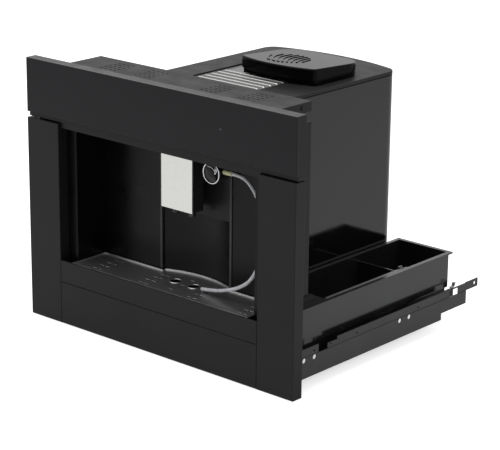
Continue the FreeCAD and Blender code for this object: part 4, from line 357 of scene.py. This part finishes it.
# %% [markdown]
# ### Dark glass
# The control strip is tinted glass over a black print. It mirrors the room softly and
# shows faint wipe marks, which live only in its roughness.

# %% Make the glass and the lamp lens
def tinted_glass():
    bench = Bench("tinted_panel_glass", specular=0.16)
    bench.shade(bench.grain(6.0, 2.0), paint(22, 22, 24), paint(25, 25, 27))
    bench.polish(bench.grain(22.0, 4.0, (1.0, 1.0, 3.0)), 0.12, 0.2)
    bench.soften_edges(0.0008)
    bench.press_in(bench.grain(60.0, 1.0), 0.02, 0.0003)
    return bench.finish


def lamp_lens():
    bench = Bench("lamp_lens", roughness=0.25)
    bench.shade(bench.grain(900.0, 1.0), paint(52, 53, 55), paint(66, 67, 69))
    bench.set("Coat Weight", 0.6)
    bench.press_in(bench.grain(1500.0, 1.0), 0.1, 0.0001)
    return bench.finish


finishes["panel_glass"] = tinted_glass()
finishes["lens"] = lamp_lens()
print("glass and lens ready")

# %% [markdown]
# ### Moulded plastic
# Matt plastic has a spark-eroded grain, glossy plastic is nearly a mirror with faint
# sink marks. One recipe serves both: only the sheen and the size of the grain change.
# Where no pale line belongs along the edges, as in the dark niche, the edge is 0.

# %% Mix the plastics
def moulded_plastic(name, dark, light, sheen_low, sheen_high, grain_scale, grain_depth,
                    specular=0.5, edge=0.0005):
    bench = Bench(name, specular=specular)
    bench.shade(bench.grain(14.0, 4.0), dark, light)
    bench.polish(bench.grain(28.0, 3.0), sheen_low, sheen_high)
    if edge:
        bench.soften_edges(edge)
    bench.press_in(bench.grain(grain_scale, 2.0), 0.25, grain_depth)
    return bench.finish


finishes["dark_plastic"] = moulded_plastic("matt_black_plastic", paint(22, 22, 23),
                                           paint(29, 29, 30), 0.4, 0.5, 1100.0, 0.0003)
finishes["liner_plastic"] = moulded_plastic("niche_black_plastic", paint(5, 5, 5),
                                            paint(7, 7, 7), 0.26, 0.34, 700.0, 0.00002,
                                            0.16, 0.0)
finishes["casing"] = moulded_plastic("gloss_black_casing", paint(10, 10, 11),
                                     paint(14, 14, 15), 0.05, 0.09, 300.0, 0.00002, 0.42)
finishes["tank_plastic"] = moulded_plastic("tank_black_plastic", paint(20, 20, 20),
                                           paint(25, 25, 25), 0.14, 0.2, 600.0, 0.00003)
finishes["lid_plastic"] = moulded_plastic("gloss_black_lid", paint(5, 5, 6), paint(9, 9, 9),
                                          0.1, 0.16, 260.0, 0.00003, 0.05)
finishes["grey_plate"] = moulded_plastic("grey_plate_plastic", paint(92, 92, 92),
                                         paint(104, 104, 103), 0.3, 0.4, 900.0, 0.0001)
finishes["white_plastic"] = moulded_plastic("white_works_plastic", paint(212, 211, 205),
                                            paint(228, 227, 222), 0.35, 0.5, 800.0, 0.0002)
print("finishes so far:", len(finishes))

# %% [markdown]
# ### Metals
# Brushed sheet gets its look from fine scratches that all run one way, so its grain is
# stretched hard along one axis, and pressed in more or less deeply. Chrome is nearly
# clean, zinc is cloudy with small crystals, and a casting has a coarse sandy skin.

# %% Mix the metals
def brushed_sheet(name, dark, light, sheen_low, sheen_high, stretch, edge=0.0004, press=0.05):
    bench = Bench(name, metallic=1.0)
    scratches = bench.grain(60.0, 4.0, stretch, 0.65)
    bench.shade(scratches, dark, light)
    bench.polish(scratches, sheen_low, sheen_high)
    bench.soften_edges(edge)
    bench.press_in(scratches, press, 0.0001)
    return bench.finish


def polished_chrome():
    bench = Bench("polished_chrome", metallic=1.0)
    bench.shade(bench.grain(40.0), paint(214, 215, 217), paint(228, 229, 231))
    bench.polish(bench.grain(90.0, 3.0), 0.05, 0.1)
    bench.press_in(bench.grain(500.0, 1.0), 0.03, 0.0001)
    return bench.finish


def zinc_plate():
    bench = Bench("zinc_plate", metallic=1.0)
    crystals = bench.nodes.new("ShaderNodeTexVoronoi")
    crystals.inputs["Scale"].default_value = 170.0
    bench.links.new(bench.place, crystals.inputs["Vector"])
    bench.shade(crystals.outputs["Distance"], paint(150, 152, 155), paint(190, 192, 194))
    bench.polish(bench.grain(60.0, 4.0), 0.32, 0.48)
    bench.press_in(bench.grain(420.0, 2.0), 0.1, 0.0002)
    return bench.finish


def cast_metal():
    bench = Bench("cast_aluminium", metallic=1.0)
    bench.shade(bench.grain(50.0, 4.0), paint(168, 169, 170), paint(198, 199, 200))
    bench.polish(bench.grain(80.0), 0.4, 0.58)
    bench.press_in(bench.grain(650.0, 4.0), 0.4, 0.0004)
    return bench.finish


finishes["steel"] = brushed_sheet("brushed_steel", paint(212, 211, 207),
                                  paint(219, 218, 214), 0.26, 0.3, (1.0, 1.0, 40.0),
                                  0.0004, 0.02)
finishes["grid_steel"] = brushed_sheet("polished_grid_steel", paint(176, 176, 177),
                                       paint(190, 190, 190), 0.33, 0.38, (1.0, 30.0, 1.0),
                                       0.0008, 0.01)
finishes["rail_rod"] = brushed_sheet("brushed_rod", paint(172, 171, 169), paint(186, 185, 183),
                                     0.3, 0.4, (30.0, 1.0, 1.0), 0.0)
finishes["burr_steel"] = brushed_sheet("hardened_steel", paint(150, 150, 152),
                                       paint(180, 180, 182), 0.22, 0.34, (8.0, 8.0, 1.0))
finishes["chrome"] = polished_chrome()
finishes["zinc"] = zinc_plate()
finishes["alu"] = cast_metal()
print("metals ready")

# %% [markdown]
# ### Silicone, seals and circuit boards
# The hose and its sleeve let light through, so part of their shading is transmission
# with a soft surface. The boards hide inside and need only a solder-mask green with
# fine tracks.

# %% Mix the soft and the hidden finishes
def silicone(name, dark, light, clear, sheen_low, sheen_high):
    bench = Bench(name)
    bench.shade(bench.grain(80.0, 3.0), dark, light)
    bench.polish(bench.grain(150.0), sheen_low, sheen_high)
    bench.set("Transmission Weight", clear)
    bench.set("IOR", 1.41)
    bench.press_in(bench.grain(500.0, 2.0), 0.08, 0.0002)
    return bench.finish


def circuit_green():
    bench = Bench("circuit_green", specular=0.5)
    tracks = bench.nodes.new("ShaderNodeTexBrick")
    tracks.inputs["Scale"].default_value = 90.0
    tracks.inputs["Color1"].default_value = paint(22, 78, 44)
    tracks.inputs["Color2"].default_value = paint(30, 92, 52)
    tracks.inputs["Mortar"].default_value = paint(120, 150, 70)
    tracks.inputs["Mortar Size"].default_value = 0.012
    turned = bench.nodes.new("ShaderNodeMapping")
    turned.inputs["Rotation"].default_value = (math.pi / 2, 0.0, math.radians(3.0))
    bench.links.new(bench.place, turned.inputs["Vector"])
    bench.links.new(turned.outputs["Vector"], tracks.inputs["Vector"])
    bench.links.new(tracks.outputs["Color"], bench.shader.inputs["Base Color"])
    bench.polish(bench.grain(60.0), 0.3, 0.42)
    bench.press_in(tracks.outputs["Fac"], 0.2, 0.0002)
    return bench.finish


finishes["hose"] = silicone("hose_silicone", paint(176, 176, 180), paint(198, 198, 201),
                            0.08, 0.2, 0.34)
finishes["sleeve"] = silicone("sleeve_silicone", paint(206, 204, 160),
                              paint(222, 220, 178), 0.25, 0.25, 0.4)
finishes["seal"] = moulded_plastic("black_seal", paint(18, 18, 18), paint(26, 26, 26),
                                   0.55, 0.7, 500.0, 0.0003)
finishes["hopper_plastic"] = moulded_plastic("smoked_hopper_plastic", paint(42, 38, 36),
                                             paint(52, 47, 44), 0.1, 0.18, 600.0, 0.00005)
finishes["dial_grey"] = moulded_plastic("dial_grey_plastic", paint(44, 44, 46),
                                        paint(50, 50, 52), 0.3, 0.4, 900.0, 0.00004, 0.3, 0.0)
finishes["black_grip"] = moulded_plastic("black_grip_plastic", paint(7, 7, 7), paint(10, 10, 10),
                                         0.22, 0.3, 900.0, 0.00003, 0.2, 0.0)
finishes["circuit"] = circuit_green()
print("all finishes:", sorted(finishes))

# %% [markdown]
# ## Give every solid its finish
# The record already says which kind of finish each solid has. Following it keeps the
# scene and the record in step: a solid that is added later gets its finish by itself.

# %% Assign the finishes
def dress_solids(record, nodes):
    count = 0
    for part in record["subparts"]:
        solid = nodes[part["node"]]
        solid.data.materials.clear()
        solid.data.materials.append(finishes[part["material_slot"]])
        count += 1
    return count


hose.data.materials.append(finishes["hose"])
print("dressed solids:", dress_solids(frame["record"], frame["nodes"]))

# %% [markdown]
# ## Finer pieces
# Some parts are too fine for the CAD model, so they are added here. A lathe makes every
# round piece: it takes the outline of half a section, as pairs of radius and height, and
# spins it about an axis. A closed outline gives a closed piece. Ready-made rings would be
# quicker, but they have only one kind of section. Each finished piece is then settled: it
# gets its finish, its body and the solids that it stands for.

# %% Make a lathe
def settle(piece, finish, body, replaced=()):
    piece.data.materials.append(finishes[finish])
    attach(piece, body)
    for node in replaced:
        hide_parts(node)


def mesh_piece(name, work, smooth=True):
    bmesh.ops.recalc_face_normals(work, faces=work.faces)
    mesh = bpy.data.meshes.new(name)
    work.to_mesh(mesh)
    work.free()
    for face in mesh.polygons:
        face.use_smooth = smooth
    piece = bpy.data.objects.new(name, mesh)
    bpy.context.scene.collection.objects.link(piece)
    return piece


def spun(outline, place, axis, steps=72):
    """The outline, spun about an axis through the place, as one closed mesh."""
    work = bmesh.new()
    turn = Vector((0.0, 0.0, 1.0)).rotation_difference(Vector(axis)).to_matrix()
    rings = []
    for step in range(steps):
        angle = 2.0 * math.pi * step / steps
        rings.append([work.verts.new(turn @ Vector((radius * math.cos(angle),
                                                    radius * math.sin(angle), height))
                                     + Vector(place)) for radius, height in outline])
    count = len(outline)
    for step in range(steps):
        here, there = rings[step], rings[(step + 1) % steps]
        for corner in range(count):
            after = (corner + 1) % count
            work.faces.new((here[corner], here[after], there[after], there[corner]))
    return work


def round_section(radius, height, thick, corners=10):
    """A small round section whose middle lies at the given radius and height."""
    return [(radius + thick * math.cos(2.0 * math.pi * corner / corners),
             height + thick * math.sin(2.0 * math.pi * corner / corners))
            for corner in range(corners)]


print("a round section has", len(round_section(0.01, 0.0, 0.001)), "corners")

# %% [markdown]
# ### Collars of the drains
# The two drains are drawn down through the grid, which leaves a polished round lip. The
# lip stands hardly above the sheet, but it catches a bright crescent. It could be part
# of the grid's own mesh; a ring of its own, half sunk into the sheet, leaves that alone.

# %% Add the collars
COLLAR_MIDDLE, COLLAR_RADIUS, COLLAR_THICK = 0.1112, 0.0100, 0.0009
DRAINS = ((-0.0080, -0.2005), (0.0330, -0.2005))
for count, (x, y) in enumerate(DRAINS):
    collar = mesh_piece("drain_collar_%d" % count,
                        spun(round_section(COLLAR_RADIUS, 0.0, COLLAR_THICK),
                             (x, y, COLLAR_MIDDLE), (0.0, 0.0, 1.0)))
    settle(collar, "grid_steel", "drip_tray")
print("collars:", len(DRAINS))

# %% [markdown]
# ### Cup rails
# The cups stand on five thin rods. Their ends dive into the plate, so each is a bent
# line whose ends lie lower than its middle. Straight rods with round caps would do too,
# but the smooth line of the hose gives soft ends without any more work.

# %% Lay the cup rails
RAIL_COUNT, RAIL_FIRST, RAIL_STEP = 5, -0.085, 0.0164
RAIL_RADIUS = 0.0019
RAIL_LINE = ((-0.0648, 0.4278), (-0.0640, 0.4290), (-0.0600, 0.4290),
             (0.0610, 0.4290), (0.0650, 0.4290), (0.0658, 0.4278))
for count in range(RAIL_COUNT):
    y = RAIL_FIRST + RAIL_STEP * count
    rod = smooth_line("cup_rail_%d" % count, [(x, y, z) for x, z in RAIL_LINE],
                      RAIL_RADIUS, 4)
    settle(rod, "rail_rod", "machine", ("cup_rails",))
print("cup rails:", RAIL_COUNT)

# %% [markdown]
# ### The frother's dial
# The dial is a thin chrome ring round a flat grey face, with a black grip across it. The
# round parts come off the lathe. The grip is a bar whose outline narrows to its ends, so
# it is drawn as an outline and given a depth. A chrome wire follows its upper side, with
# two short strokes near its end. All of it rides on the dial, so it turns as one.

# %% Build the dial
DIAL_MIDDLE = Vector((0.0865, -0.2195, 0.319))
DIAL_AXIS = (0.0, 1.0, 0.0)
GRIP_LEAN = math.radians(42.0)
WIRE_RADIUS, WIRE_DEPTH = 0.0006, 0.0014


def dial_round(name, outline, finish, replaced, steps=72):
    piece = mesh_piece(name, spun(outline, DIAL_MIDDLE, DIAL_AXIS, steps))
    settle(piece, finish, "frother_dial", replaced)


dial_round("dial_ring", round_section(0.0169, 0.0012, 0.0010), "chrome", ("knob_ring",))
dial_round("dial_cup", [(0.0157, 0.0016), (0.0178, 0.0016), (0.0178, 0.0048), (0.0157, 0.0048)],
           "dark_plastic", ("knob_ring",))
dial_round("dial_face", [(0.0001, 0.0028), (0.0140, 0.0028), (0.0156, 0.0022), (0.0156, 0.0048),
                         (0.0001, 0.0048)], "dial_grey", ("frother_knob",))
dial_round("dial_stem", [(0.0001, 0.0046), (0.0039, 0.0046), (0.0039, 0.0125), (0.0001, 0.0125)],
           "dark_plastic", ("frother_knob",), 32)


def dial_point(along, across, depth):
    """A place on the dial: along its grip, across it, and behind the ring's front."""
    x = along * math.cos(GRIP_LEAN) + across * math.sin(GRIP_LEAN)
    z = -along * math.sin(GRIP_LEAN) + across * math.cos(GRIP_LEAN)
    return DIAL_MIDDLE + Vector((x, depth, z))


GRIP_OUTLINE = ((-1.0, 0.35), (-0.6, 0.72), (0.0, 1.0), (0.6, 0.72), (1.0, 0.35),
                (1.0, -0.35), (0.6, -0.5), (0.0, -0.55), (-0.6, -0.5), (-1.0, -0.35))


def grip_bar(length, width, front, back):
    work = bmesh.new()
    outline = [(along * length / 2.0, across * width / 2.0) for along, across in GRIP_OUTLINE]
    low = [work.verts.new(dial_point(along, across, back)) for along, across in outline]
    high = [work.verts.new(dial_point(along * 0.96, across * 0.8, front))
            for along, across in outline]
    work.faces.new(low)
    work.faces.new(high)
    for step in range(len(outline)):
        after = (step + 1) % len(outline)
        work.faces.new((low[step], low[after], high[after], high[step]))
    return work


grip = mesh_piece("dial_grip", grip_bar(length=0.0290, width=0.0130, front=0.0004,
                                        back=0.0030), smooth=False)
settle(grip, "black_grip", "frother_dial", ("frother_knob",))
WIRES = {
    "dial_wire": ((-0.0140, 0.0012), (-0.0100, 0.0050), (-0.0030, 0.0078), (0.0040, 0.0084),
                  (0.0070, 0.0060)),
    "dial_stroke_0": ((0.0000, 0.0125), (0.0035, 0.0090), (0.0060, 0.0048)),
    "dial_stroke_1": ((0.0025, 0.0135), (0.0062, 0.0098)),
}
for name, spots in WIRES.items():
    line = [dial_point(along, across, WIRE_DEPTH) for along, across in spots]
    wire = smooth_line(name, line, WIRE_RADIUS, 3)
    settle(wire, "chrome", "frother_dial")
print("dial built")

# %% [markdown]
# ### Clips at the rails' back ends
# Each bracket carries a small bent clip near its back end. It is one strip of sheet: a
# foot on the bracket's top, an upright and a hooked lip. Following a path with a flat
# section gives the bends, where a box for each leg would leave open corners.

# %% Bend the clips
CLIP_WIDTH, CLIP_SHEET, CLIP_SIDE = 0.0060, 0.0010, 0.2745
CLIP_PATH = [(0.1840, 0.0688), (0.1900, 0.0688), (0.1920, 0.0694), (0.1930, 0.0710),
             (0.1934, 0.0730), (0.1946, 0.0746), (0.1966, 0.0750), (0.1984, 0.0742)]


def bent_strip(path, width, thick, side):
    """A strip of sheet that follows a path of (y, z) places at a given x."""
    work = bmesh.new()
    sections = []
    for step, (y, z) in enumerate(path):
        before, after = path[max(step - 1, 0)], path[min(step + 1, len(path) - 1)]
        run = Vector((0.0, after[0] - before[0], after[1] - before[1])).normalized()
        out = Vector((1.0, 0.0, 0.0)).cross(run) * (thick / 2.0)
        middle = Vector((side, y, z))
        across = Vector((width / 2.0, 0.0, 0.0))
        sections.append([work.verts.new(middle + sign * across + turn * out)
                         for sign, turn in ((-1, -1), (1, -1), (1, 1), (-1, 1))])
    for here, there in zip(sections, sections[1:]):
        for corner in range(4):
            after = (corner + 1) % 4
            work.faces.new((here[corner], here[after], there[after], there[corner]))
    work.faces.new(sections[0])
    work.faces.new(list(reversed(sections[-1])))
    return work


for name, side in (("right", CLIP_SIDE), ("left", -CLIP_SIDE)):
    clip = mesh_piece("rail_clip_" + name, bent_strip(CLIP_PATH, CLIP_WIDTH, CLIP_SHEET, side),
                      smooth=False)
    settle(clip, "zinc", "cabinet_rails")
print("clips bent")
